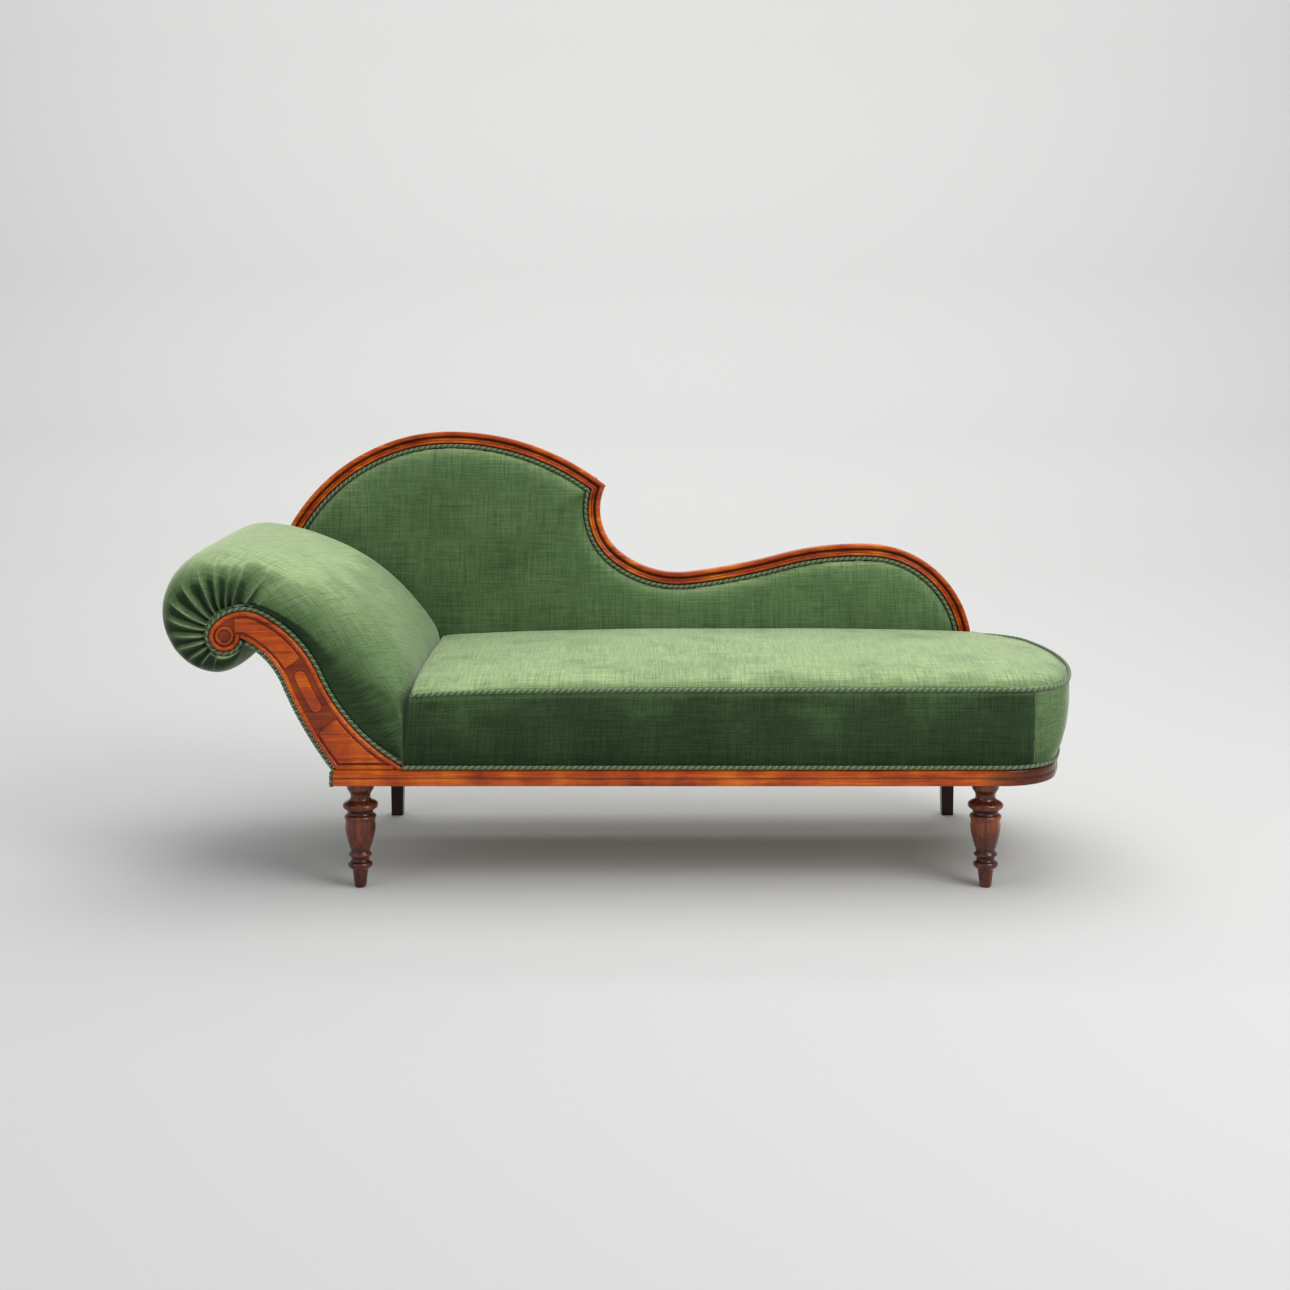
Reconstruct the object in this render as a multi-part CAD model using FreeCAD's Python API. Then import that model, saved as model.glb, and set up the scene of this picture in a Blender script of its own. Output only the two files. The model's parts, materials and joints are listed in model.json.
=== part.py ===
import FreeCAD, Part
import math
import os
from collections import namedtuple
from FreeCAD import Placement, Rotation, Vector

# Fainting couch: a scrolled, stuffed head end, a serpentine show-wood back and a
# sprung seat with a bowed foot end, on two turned and two square legs.
# X runs from the head to the foot, the front faces -Y and Z is up, in millimetres.

# Running clearances
seat_gap = 0.3
pin_gap = 0.15

# Legs
leg_height = 203.0
leg_inset = 23.0
head_leg_x = -512.0
foot_leg_x = 704.5
leg_pin_radius = 12.0
leg_pin_length = 55.0
rear_leg_top = 31.0
rear_leg_foot = 25.0
leg_sides = 24
leg_corners = 4
# Turned leg: heights as shares of the leg's height, and radii.
turning = [(0.0, 10.7), (0.178, 15.8), (0.212, 24.3), (0.24, 24.3), (0.274, 17.4), (0.31, 23.1),
           (0.33, 23.1), (0.36, 19.2), (0.47, 25.2), (0.58, 29.5), (0.672, 30.8), (0.719, 24.6),
           (0.768, 33.0), (0.803, 34.5), (0.862, 19.6), (0.895, 19.6), (0.945, 25.8)]

# Underframe
rail_height = 73.0
rail_thickness = 45.0
rail_front = -310.0
frame_depth = 568.0
frame_left = -552.0
foot_straight = 736.0
corner_radius = 120.0
foot_end_radius = 700.0
stretcher_x = -60.0
stretcher_width = 45.0
stretcher_height = 32.0
block_leg = 70.0
block_height = 45.0
block_screw_radius = 2.5
block_screw_length = 66.0

# Show moulding round the front and the foot
moulding_height = 32.0
moulding_depth = 12.0
moulding_chamfer = 3.0
moulding_left = -560.0
moulding_joint = 746.0

# Back frame, drawn in a plane that leans back: u along X, v up the plane
back_lean = 5.0
back_thickness = 32.0
crown_u = -400.8
crown_v = 571.2
arch_radius = 405.9
arch_turn = 75.0
crown_radius = 562.1
crown_turn = 38.2
sweep_heading = -116.0
sweep_turns = [(120.9, 78.2), (209.6, 44.5), (1409.9, 8.2)]
hump_turns = [(700.5, -17.3)]
foot_turns = [(228.5, -91.9)]
back_end = 762.0
arch_split = 0.55
member_width = 34.0
bead_width = 9.0
cove_width = 10.0
inner_bead_width = 7.0
bead_rise = 3.0
cove_depth = 2.6
rebate_depth = 14.0
dowel_radius = 4.0
dowel_length = 44.0
post_width = 45.0
post_thickness = 16.0
post_places = [-380.0, 110.0, 560.0]
tack_rail_height = 32.0
tack_rail_v = 70.0
back_web_first = -280.0
back_web_step = 130.0
back_webs = 8
back_web_rows = [125.0, 225.0, 330.0]

# Scrolled head, drawn in an upright plane: heights are above the show moulding
panel_toe = -431.0
panel_upper_start = (-434.5, 9.6)
panel_upper_heading = 149.8
panel_upper_turns = [(381.0, -35.5), (239.9, 38.6), (75.6, 79.2), (29.7, 200.0)]
panel_lower_start = (-554.6, 0.0)
panel_lower_heading = 127.8
panel_lower_turns = [(746.7, -14.8), (165.4, 44.0)]
panel_ground = 7.0
panel_border = 8.0
panel_border_rise = 5.0
field_inset = 13.0
field_rise = 4.0
tablet_inset = 22.0
volute_eye = (-770.0, 258.0)
eye_radius = 14.0
eye_rise = 3.5
# Where the carved fields end, as shares of the upper edge's first two arcs
low_field_head = 0.62
tablet_foot = 0.746
tablet_head = 0.13
top_field_foot = 0.29
arm_board = 35.0
head_rail_width = 60.0
scroll_bar_radius = 22.0
head_webs = 3
head_rail_thickness = 30.0

# Head pad
pad_start = (-410.8, 153.0)
pad_heading = 95.3
pad_turns = [(113.8, 27.7), (477.0, 51.0), (125.0, 176.0)]
seam_foot = -426.0
seam_lean = 0.1
# Slices by their distance behind the front rail's face, then by their distance before
# the rear rail's: drop from the full outline, and share of the way that the roll's
# centre has moved to the volute's eye.
pad_front_slices = [(-9.0, -52.0, 0.8), (8.0, -22.0, 0.35), (48.0, -8.0, 0.1), (250.0, 0.0, 0.0)]
pad_rear_slices = [(63.0, -10.0, 0.0), (45.5, -40.0, 0.0)]
pad_core_drop = -30.0
pad_core_ends = 26.0
head_lining = 4.0

# Covers, webbing and rope trim
cover_thickness = 3.0
outside_cover = 2.0
web_width = 50.0
web_thickness = 2.0
hessian_thickness = 1.5
cord_radius = 4.5
cord_sides = 4
peg_sides = 6
spring_radius = 38.0
spring_first = -320.0
spring_step = 184.0
springs_in_row = 6
spring_row_step = 154.0
spring_sides = 8
twine = 3.0
cross_web_first = -412.0
cross_web_step = 92.0
cross_webs = 12

# Seat: slices of the stuffed body from the moulding up. Each gives the height above
# the moulding, how far it stands proud of it, and how far the foot end moves out.
seat_slices = [(1.0, -5.0, 0.0), (60.0, 1.0, 9.0), (148.0, 4.0, 18.0), (156.0, 0.0, 18.0),
               (170.0, -9.0, 17.0), (182.0, -46.0, 4.0), (189.0, -110.0, -20.0)]
seat_seam = 156.0
top_cord_proud = 1.0
base_cord_proud = -3.6
seat_overlap = 10.0
seat_edge_wall = 52.0
spring_seat_height = 110.0
# Slices of the stuffed back: place forward of the frame's face, inset from its edge.
back_pad_slices = [(-8.2, 37.6), (2.0, 38.6), (12.0, 53.0), (19.0, 93.0)]
back_pad_foot = 50.0
share_behind_head = 0.75

# Derived places
rail_bottom = leg_height
rail_top = leg_height + rail_height
rail_rear = rail_front + frame_depth
rail_inner_front = rail_front + rail_thickness
rail_inner_rear = rail_rear - rail_thickness
moulding_top = rail_bottom + moulding_height
moulding_face = rail_front - moulding_depth
back_face = rail_rear - back_thickness
front_leg_y = rail_front + leg_inset
rear_leg_y = rail_rear - leg_inset
seat_rear = back_face - seat_overlap
frame_middle = (rail_front + rail_rear) / 2
spring_rows = [frame_middle - spring_row_step, frame_middle, frame_middle + spring_row_step]
pad_slices = ([(rail_front + behind, drop, toward) for behind, drop, toward in pad_front_slices]
              + [(rail_rear - before, drop, toward) for before, drop, toward in pad_rear_slices])
# Further than any piece reaches, for the zones that pieces are cut by
reach = 2 * (foot_straight - frame_left)
# A flat that is nearer to level than this is one face
flat_enough = 1e-6
# The most that one flat turns, in radians, and the most that it cuts off an arc
flat_turn = 0.17
flat_sag = 0.4

Arc = namedtuple("Arc", "x y radius start turn")
Line = namedtuple("Line", "x y heading length")


def polar(x, y, radius, angle):
    return (x + radius * math.cos(math.radians(angle)), y + radius * math.sin(math.radians(angle)))


def chain(start, heading, turns):
    """Tangent arcs from a start point: each turn is (radius, degrees), left positive."""
    arcs = []
    x, y = start
    for radius, turn in turns:
        side = 90.0 if turn > 0 else -90.0
        cx, cy = polar(x, y, radius, heading + side)
        arcs.append(Arc(cx, cy, radius, heading - side, turn))
        x, y = polar(cx, cy, radius, heading - side + turn)
        heading += turn
    return arcs


def shift(arc, right):
    """The arc moved to the right of its travel."""
    grow = right if arc.turn > 0 else -right
    return arc._replace(radius=arc.radius + grow)


def at(arc, share):
    """The point at a share of an arc or line."""
    if isinstance(arc, Line):
        return polar(arc.x, arc.y, arc.length * share, arc.heading)
    return polar(arc.x, arc.y, arc.radius, arc.start + arc.turn * share)


def heading_at(arc, share):
    if isinstance(arc, Line):
        return arc.heading
    return arc.start + arc.turn * share + (90.0 if arc.turn > 0 else -90.0)


def part_of(arc, first, last):
    return arc._replace(start=arc.start + arc.turn * first, turn=arc.turn * (last - first))


def flat(point, lift=0.0):
    return Vector(point[0], point[1], lift)


def arc_edge(first, middle, last, lift=0.0):
    return Part.Arc(flat(first, lift), flat(middle, lift), flat(last, lift)).toShape()


def line_edge(first, last, lift=0.0):
    return Part.LineSegment(flat(first, lift), flat(last, lift)).toShape()


def outline(steps, lift=0.0):
    """A closed wire: a step is a point to reach, or a (via, point) pair for an arc."""
    edges = []
    here = steps[0]
    for step in steps[1:] + [steps[0]]:
        if isinstance(step[0], tuple):
            edges.append(arc_edge(here, step[0], step[1], lift))
            here = step[1]
        elif math.dist(here, step) > 1e-6:
            edges.append(line_edge(here, step, lift))
            here = step
    return Part.Wire(edges)


def along(arcs):
    """Steps along a chain of arcs, from its first point."""
    return [at(arcs[0], 0)] + [(at(arc, 0.5), at(arc, 1)) for arc in arcs]


def backwards(arcs):
    return [at(arcs[-1], 1)] + [(at(arc, 0.5), at(arc, 0)) for arc in reversed(arcs)]


def faceted(rings):
    """A solid of flats through rings of corners, one after another."""
    outlines = [rings[0], rings[-1]]
    for low, high in zip(rings, rings[1:]):
        for i in range(len(low)):
            a, b, c, d = low[i - 1], low[i], high[i], high[i - 1]
            across = (b - a).cross(d - a)
            bent = abs((c - a).dot(across)) / across.Length
            outlines += [[a, b, c, d]] if bent < flat_enough else [[a, b, c], [a, c, d]]
    faces = [Part.Face(Part.makePolygon(corners + corners[:1])) for corners in outlines]
    solid = Part.makeSolid(Part.makeShell(faces))
    return solid if solid.Volume > 0 else solid.reversed()


def flats(wire):
    """How many flats each edge of an outline gets: one for a line, more for an arc."""
    counts = []
    for edge in wire.OrderedEdges:
        radius = getattr(edge.Curve, "Radius", None)
        if radius is None:
            counts.append(1)
        else:
            step = min(flat_turn, math.sqrt(8 * flat_sag / radius))
            counts.append(max(1, math.ceil(edge.Length / radius / step)))
    return counts


def ring_of(wire, counts):
    """The corners of an outline whose edges are shared out into flats."""
    corners = []
    for edge, count in zip(wire.OrderedEdges, counts):
        corners += edge.discretize(count + 1)[:-1]
    return corners


def faceted_loft(wires):
    """A solid of flats through outlines that have the same edges in the same order."""
    counts = flats(wires[len(wires) // 2])
    return faceted([ring_of(wire, counts) for wire in wires])


def box(x0, x1, y0, y1, z0, z1):
    return Part.makeBox(x1 - x0, y1 - y0, z1 - z0, Vector(x0, y0, z0))


def upright(y):
    """Places drawn shapes upright on the moulding's level: their own z points to the front."""
    return Placement(Vector(0, y, moulding_top), Rotation(Vector(1, 0, 0), 90))


def leaning():
    """Places shapes drawn in the back's own plane, on the rear rail."""
    return Placement(Vector(0, back_face, rail_top), Rotation(Vector(1, 0, 0), 90 - back_lean))


def placed(shape, placement):
    copy = shape.copy()
    copy.Placement = placement.multiply(copy.Placement)
    return copy


def slab(wire, depth, placement):
    return placed(Part.Face(wire).extrude(Vector(0, 0, depth)), placement)


def swept(section, path):
    """A section, drawn as (right of travel, up) steps, carried along arcs and lines."""
    solids = []
    for run in path:
        x, y = at(run, 0)
        heading = heading_at(run, 0)
        turned = Placement(Vector(x, y, 0), Rotation(Vector(0, 0, 1), heading - 90))
        stand = Placement(Vector(0, 0, 0), Rotation(Vector(1, 0, 0), 90))
        face = placed(Part.Face(outline(section)), turned.multiply(stand))
        if isinstance(run, Line):
            ahead = flat(polar(0, 0, run.length, heading))
            solids.append(face.extrude(ahead))
        else:
            solids.append(face.revolve(Vector(run.x, run.y, 0), Vector(0, 0, 1), run.turn))
    return solids[0].multiFuse(solids[1:]) if len(solids) > 1 else solids[0]


def cord(path):
    """Rope trim as a four-sided bar."""
    ring = [polar(0, 0, cord_radius, 360 * i / cord_sides) for i in range(cord_sides)]
    return swept(ring, path)


def peg(radius, length, start, direction):
    """A dowel or screw as a six-sided bar."""
    turn = Rotation(Vector(0, 0, 1), direction)
    ring = outline([polar(0, 0, radius, 360 * i / peg_sides) for i in range(peg_sides)])
    bar = Part.Face(ring).extrude(Vector(0, 0, length))
    return placed(bar, Placement(start, turn))


def joined(solids):
    return solids[0].multiFuse(solids[1:])


def bow(proud, out=0.0):
    """The bowed foot end: two corner arcs and the end arc, grown and moved out."""
    rear_face = rail_rear + moulding_depth
    half = (rear_face - moulding_face) / 2
    step = foot_end_radius - corner_radius
    lead = math.degrees(math.acos((half - corner_radius) / step))
    start = (foot_straight + out, moulding_face)
    turns = [(corner_radius, lead), (foot_end_radius, 180 - 2 * lead), (corner_radius, lead)]
    return [shift(arc, proud) for arc in chain(start, 0.0, turns)]


def seam_x(z):
    """The seam between the seat and the head leans with height."""
    return seam_foot + seam_lean * (z - moulding_top)


def seat_outline(z, proud, out, left):
    """Plan of the seat: straight front and rear, bowed foot, straight head side."""
    arcs = bow(proud, out)
    front = moulding_face - proud
    rear = rail_rear + moulding_depth + proud
    steps = [(left, rear), (left, front)] + along(arcs)
    return outline(steps, z)


def front_leg(x):
    """Turned leg with its pin, from the floor up, in narrow flats round its axis."""
    def ring(radius, z):
        return [flat(polar(x, front_leg_y, radius, 360 * i / leg_sides), z)
                for i in range(leg_sides)]
    rings = [ring(radius, share * leg_height) for share, radius in turning]
    rings.append(ring(turning[-1][1], leg_height))
    pin = Part.makeCylinder(leg_pin_radius, leg_pin_length, Vector(x, front_leg_y, leg_height))
    return faceted(rings).fuse(pin)


def rear_leg(x):
    """Square leg that tapers to the floor, with its pin."""
    def ring(side, z):
        corner = side / math.sqrt(2)
        return [flat(polar(x, rear_leg_y, corner, 360 * (i + 0.5) / leg_corners), z)
                for i in range(leg_corners)]
    leg = faceted([ring(rear_leg_foot, 0), ring(rear_leg_top, leg_height)])
    pin = Part.makeCylinder(leg_pin_radius, leg_pin_length, Vector(x, rear_leg_y, leg_height))
    return leg.fuse(pin)


def leg_bore(x, y):
    depth = leg_pin_length + 2 * seat_gap
    return Part.makeCylinder(leg_pin_radius + pin_gap, depth, Vector(x, y, rail_bottom))


def rails():
    bores = [leg_bore(x, y) for x in (head_leg_x, foot_leg_x) for y in (front_leg_y, rear_leg_y)]
    front = box(frame_left, foot_straight, rail_front, rail_inner_front, rail_bottom, rail_top)
    rear = box(frame_left, foot_straight, rail_inner_rear, rail_rear, rail_bottom, rail_top)
    head = box(frame_left, frame_left + rail_thickness, rail_inner_front, rail_inner_rear,
               rail_bottom, rail_top)
    left = stretcher_x - stretcher_width / 2
    middle = box(left, left + stretcher_width, rail_inner_front, rail_inner_rear,
                 rail_bottom, rail_bottom + stretcher_height)
    outer = bow(-moulding_depth)
    inner = bow(-moulding_depth - rail_thickness)
    bowed = []
    for wide, narrow in zip(outer, inner):
        wire = outline(along([wide]) + backwards([narrow]), rail_bottom)
        bowed.append(Part.Face(wire).extrude(Vector(0, 0, rail_height)))
    return {"front_rail": front.cut(bores[0]).cut(bores[2]),
            "rear_rail": rear.cut(bores[1]).cut(bores[3]),
            "head_rail": head,
            "centre_stretcher": middle,
            "foot_corner_front": bowed[0],
            "foot_rail": bowed[1],
            "foot_corner_rear": bowed[2]}


def corner_blocks():
    """Glued and screwed blocks in the inner corners of the rails, with their screws."""
    inner_left = frame_left + rail_thickness
    bottom = rail_top - block_height
    screw_height = (leg_height + leg_pin_length + rail_top) / 2
    blocks = []
    screws = []
    bores = []
    for x, sx in ((inner_left, 1), (foot_straight, -1)):
        for y, sy in ((rail_inner_front, 1), (rail_inner_rear, -1)):
            corner = (x, y)
            wire = outline([corner, (x + sx * block_leg, y), (x, y + sy * block_leg)], bottom)
            block = Part.Face(wire).extrude(Vector(0, 0, block_height))
            head = Vector(x + sx * block_leg * 0.35, y + sy * block_leg * 0.65, screw_height)
            screw = peg(block_screw_radius, block_screw_length, head, Vector(0, -sy, 0))
            room = peg(block_screw_radius + pin_gap, block_screw_length + 40,
                       head + Vector(0, sy * 39, 0), Vector(0, -sy, 0))
            blocks.append(block.cut(room))
            bores.append(room)
            screws.append(screw)
    return blocks, screws, bores


def moulding_section():
    """Section of the show moulding: out from the rail's face, then up."""
    c = moulding_chamfer
    d = moulding_depth
    h = moulding_height
    return [(0, 0), (d - c, 0), (d, c), (d, h - 2 * c), (d - c / 2, h - c), (d - c, h), (0, h)]


def mouldings():
    section = [(right, up + rail_bottom) for right, up in moulding_section()]
    front = swept(section, [Line(moulding_left, rail_front, 0.0, foot_straight - moulding_left)])
    joint_share = (moulding_joint - foot_straight) / corner_radius
    lead = math.degrees(math.asin(joint_share))
    arcs = bow(-moulding_depth)
    first_turn = part_of(arcs[0], 0, lead / arcs[0].turn)
    rest = [part_of(arcs[0], lead / arcs[0].turn, 1)] + arcs[1:]
    front = front.fuse(swept(section, [first_turn]))
    return front, swept(section, rest)


def back_paths():
    """Outer edge of the back frame, from the head end to the foot, in five pieces."""
    apex = (crown_u, crown_v)
    arch_start = polar(apex[0], apex[1] - arch_radius, arch_radius, 90 + arch_turn)
    arch = chain(arch_start, arch_turn, [(arch_radius, -arch_turn)])[0]
    crown = chain(apex, 0.0, [(crown_radius, -crown_turn)])[0]
    peak = at(crown, 1)
    sweep = chain(peak, sweep_heading, sweep_turns + hump_turns + foot_turns)
    head_part = [part_of(arch, 0, arch_split)]
    crown_part = [part_of(arch, arch_split, 1), crown]
    split = len(sweep_turns)
    sweep_part = sweep[:split]
    hump_part = [sweep[split], part_of(sweep[split + 1], 0, 0.3)]
    foot_part = [part_of(sweep[split + 1], 0.3, 1)]
    tail = at(foot_part[-1], 1)
    foot_part.append(Line(tail[0], tail[1], heading_at(foot_part[-1], 1), tail[1] + back_thickness))
    return {"back_head_arch": head_part, "back_crown_arch": crown_part, "back_sweep": sweep_part,
            "back_hump": hump_part, "back_foot_curve": foot_part}, peak


def member_section():
    """Back member: outer bead, cove, inner bead and a rebate where the cover is tacked."""
    a = bead_width
    b = a + cove_width
    c = b + inner_bead_width
    low = -bead_rise
    return [(0, -back_thickness), (0, low), (a * 0.3, 0), (a * 0.7, 0), (a, low),
            (a + cove_width / 2, low - cove_depth), (b, low), (b + inner_bead_width / 2, -0.6),
            (c, low), (c, -rebate_depth), (member_width, -rebate_depth),
            (member_width, -back_thickness)]


def mitre_cutter(peak, side):
    """Half of the back's plane, beyond the mitre that runs in from the peak."""
    back_along_crown = -crown_turn + 180
    direction = (back_along_crown + sweep_heading + 360) / 2
    away = crown_radius
    tip = polar(peak[0], peak[1], -away, direction)
    root = polar(peak[0], peak[1], away, direction)
    across = direction + 90 * side
    wire = outline([tip, root, polar(root[0], root[1], away, across),
                    polar(tip[0], tip[1], away, across)], -2 * back_thickness)
    return Part.Face(wire).extrude(Vector(0, 0, 3 * back_thickness))


def back_frame():
    """The five members, mitred at the peak and dowelled end to end."""
    paths, peak = back_paths()
    names = list(paths)
    members = {name: swept(member_section(), paths[name]) for name in names}
    members["back_crown_arch"] = members["back_crown_arch"].cut(mitre_cutter(peak, 1))
    members["back_sweep"] = members["back_sweep"].cut(mitre_cutter(peak, -1))
    dowels = []
    middle = member_width / 2
    for before, after in zip(names, names[1:]):
        last = paths[before][-1]
        heading = heading_at(last, 1)
        x, y = at(last, 1)
        inward = heading - 90
        if after == "back_sweep":
            inward = (180 - crown_turn + sweep_heading + 360) / 2
            heading = inward - 90 + 180
        x, y = polar(x, y, middle * 1.1, inward)
        sx, sy = polar(x, y, -dowel_length / 2, heading)
        ahead = flat(polar(0, 0, 1, heading))
        start = Vector(sx, sy, -back_thickness * 0.65)
        dowels.append(peg(dowel_radius, dowel_length, start, ahead))
        bore = peg(dowel_radius + pin_gap, dowel_length + 2 * seat_gap,
                   start - ahead * seat_gap, ahead)
        members[before] = members[before].cut(bore)
        members[after] = members[after].cut(bore)
    frame = leaning()
    below = box(-reach, reach, -reach, reach, 0, rail_top)
    solids = {name: placed(member, frame) for name, member in members.items()}
    solids["back_foot_curve"] = solids["back_foot_curve"].cut(below)
    solids["back_dowels"] = Part.makeCompound([placed(dowel, frame) for dowel in dowels])
    return solids


def inset_corner(first, second, near):
    """Where two inset arcs cross, nearest to a given point."""
    span = math.dist((first.x, first.y), (second.x, second.y))
    lead = (span ** 2 + first.radius ** 2 - second.radius ** 2) / (2 * span)
    rise = math.sqrt(first.radius ** 2 - lead ** 2)
    heading = math.degrees(math.atan2(second.y - first.y, second.x - first.x))
    base = polar(first.x, first.y, lead, heading)
    found = [polar(base[0], base[1], rise * side, heading + 90) for side in (1, -1)]
    return min(found, key=lambda point: math.dist(point, near))


def angle_to(arc, point):
    return math.degrees(math.atan2(point[1] - arc.y, point[0] - arc.x))


def back_outline(inset, foot, lift=0.0, tail=0.0):
    """The back frame's outline moved inwards, closed by a level foot."""
    paths, peak = back_paths()
    arch = shift(part_of(paths["back_crown_arch"][0], -arch_split / (1 - arch_split), 1), inset)
    crown = shift(paths["back_crown_arch"][1], inset)
    rest = [shift(arc, inset) for arc in paths["back_sweep"] + paths["back_hump"]]
    end = shift(paths["back_foot_curve"][0], inset)
    rest[-1] = rest[-1]._replace(turn=rest[-1].turn + end.turn)
    corner = inset_corner(crown, rest[0], peak)
    crown = crown._replace(turn=angle_to(crown, corner) - crown.start)
    wanted = angle_to(rest[0], corner)
    swing = (wanted - rest[0].start + 180) % 360 - 180
    rest[0] = rest[0]._replace(start=rest[0].start + swing, turn=rest[0].turn - swing)
    left = at(arch, 0)
    right = at(rest[-1], 1)
    steps = [(left[0], foot)] + along([arch, crown]) + along(rest)[1:] + [(right[0] + tail, foot)]
    return outline(steps, lift)


def back_inside(members):
    """Posts, tacking rail, webbing, hessian, stuffing and covers inside the back frame."""
    frame = leaning()
    level = -rebate_depth
    everything = list(members.values())
    inside = Part.Face(back_outline(member_width / 2, -back_thickness, level - post_thickness))
    layer = inside.extrude(Vector(0, 0, post_thickness))
    below = box(-reach, reach, -reach, reach, 0, rail_top)

    def fitted(drawn, others):
        shape = placed(drawn.common(layer), frame).cut(below)
        for other in everything + others:
            shape = shape.cut(other)
        return shape

    half = post_width / 2
    posts = [fitted(box(x - half, x + half, -reach, reach, -reach, reach), [])
             for x in post_places]
    bar = box(post_places[0], reach, tack_rail_v, tack_rail_v + tack_rail_height, -reach, reach)
    tack_rail = fitted(bar, posts)

    web_inset = bead_width + cove_width + inner_bead_width + 1.5
    inside = Part.Face(back_outline(web_inset, tack_rail_v + 2, level))
    uprights = inside.extrude(Vector(0, 0, web_thickness))
    level_webs = uprights.copy()
    level_webs.translate(Vector(0, 0, web_thickness))
    webs = []
    for i in range(back_webs):
        x = back_web_first + back_web_step * i
        webs.append(uprights.common(box(x, x + web_width, 0, reach, -reach, reach)))
    for v in back_web_rows:
        webs.append(level_webs.common(box(-reach, reach, v, v + web_width, -reach, reach)))
    hessian_level = level + 2 * web_thickness
    hessian = Part.Face(back_outline(web_inset, tack_rail_v + 2, hessian_level))
    hessian = hessian.extrude(Vector(0, 0, hessian_thickness))

    wires = [back_outline(inset, back_pad_foot, level) for level, inset in back_pad_slices]
    outer = faceted_loft(wires)
    base = back_pad_slices[0][0]
    core_inset = back_pad_slices[2][1] + cover_thickness
    core_height = back_pad_slices[2][0] - cover_thickness - base

    def core(shrink):
        whole = Part.Face(back_outline(core_inset + shrink, 0, base))
        whole = whole.extrude(Vector(0, 0, core_height - shrink))
        foot = back_pad_foot + core_inset + shrink
        return whole.cut(box(-reach, reach, -reach, foot, -reach, reach))

    cover = outer.cut(core(0))
    stuffing = core(seat_gap)
    outside = Part.Face(back_outline(4, 2, -back_thickness - outside_cover - seat_gap))
    outside = outside.extrude(Vector(0, 0, outside_cover))
    head_zone = slab(head_profile(seat_gap, 0), reach, upright(reach / 2))
    seat_zone = box(-reach, reach, 0, seat_rear + seat_gap, 0, moulding_top + seat_slices[-1][0])

    def trimmed(shape, zones):
        return placed(shape, frame).cut(zones)

    lower = chain(panel_lower_start, panel_lower_heading, panel_lower_turns)
    knee = at(lower[0], share_behind_head)
    roll_zone = box(-reach, knee[0], 0, reach, 0, rail_top + 2 * pad_turns[2][0])
    neck_zone = box(-reach, at(lower[0], 0)[0], 0, reach, 0, moulding_top + knee[1])
    zones = [head_zone, roll_zone, neck_zone, seat_zone]
    end_zone = outside_end_zone()
    return {"back_posts": Part.makeCompound(posts),
            "back_tack_rail": tack_rail,
            "back_webbing": Part.makeCompound([trimmed(web, zones[:3]) for web in webs]),
            "back_hessian": trimmed(hessian, zones[:3]),
            "back_stuffing": trimmed(stuffing, zones),
            "back_cover": trimmed(cover, zones),
            "back_outside_cover": trimmed(outside, [below, end_zone])}


def outside_end_zone():
    """What lies outside the head's S-shaped edge, behind the couch."""
    lower = [shift(arc, seat_gap) for arc in
             chain(panel_lower_start, panel_lower_heading, panel_lower_turns)]
    top = at(lower[-1], 1)
    above = top[1] + 2 * panel_upper_turns[3][0]
    heel = at(lower[0], 0)
    wire = outline([(-reach, -moulding_top), (heel[0], -moulding_top)] + along(lower)
                   + [(top[0], above), (-reach, above)])
    return slab(wire, reach / 2, upright(reach / 2))


def back_cord():
    """Rope along the inner bead of the back, from the head pad to the seat."""
    inset = bead_width + cove_width + inner_bead_width + 1.5 + cord_radius
    lift = -rebate_depth + 2 * web_thickness + hessian_thickness + seat_gap + cord_radius
    paths, peak = back_paths()
    arch = shift(part_of(paths["back_crown_arch"][0], -arch_split / (1 - arch_split), 1), inset)
    crown = shift(paths["back_crown_arch"][1], inset)
    rest = [shift(arc, inset) for arc in paths["back_sweep"] + paths["back_hump"]
            + paths["back_foot_curve"][:1]]
    corner = inset_corner(crown, rest[0], peak)
    crown = crown._replace(turn=angle_to(crown, corner) - crown.start)
    swing = (angle_to(rest[0], corner) - rest[0].start + 180) % 360 - 180
    rest[0] = rest[0]._replace(start=rest[0].start + swing, turn=rest[0].turn - swing)
    head_zone = slab(head_profile(seat_gap, 0), reach, upright(reach / 2))
    over = part_of(arch, 0.1, 1)
    first = placed(cord([over, crown]), Placement(Vector(0, 0, lift), Rotation()))
    second = placed(cord(rest), Placement(Vector(0, 0, lift), Rotation()))
    first = first.cut(mitre_cutter(corner, 1))
    second = second.cut(mitre_cutter(corner, -1))
    rope = placed(first.fuse(second), leaning())
    return rope.cut(head_zone)


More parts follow.
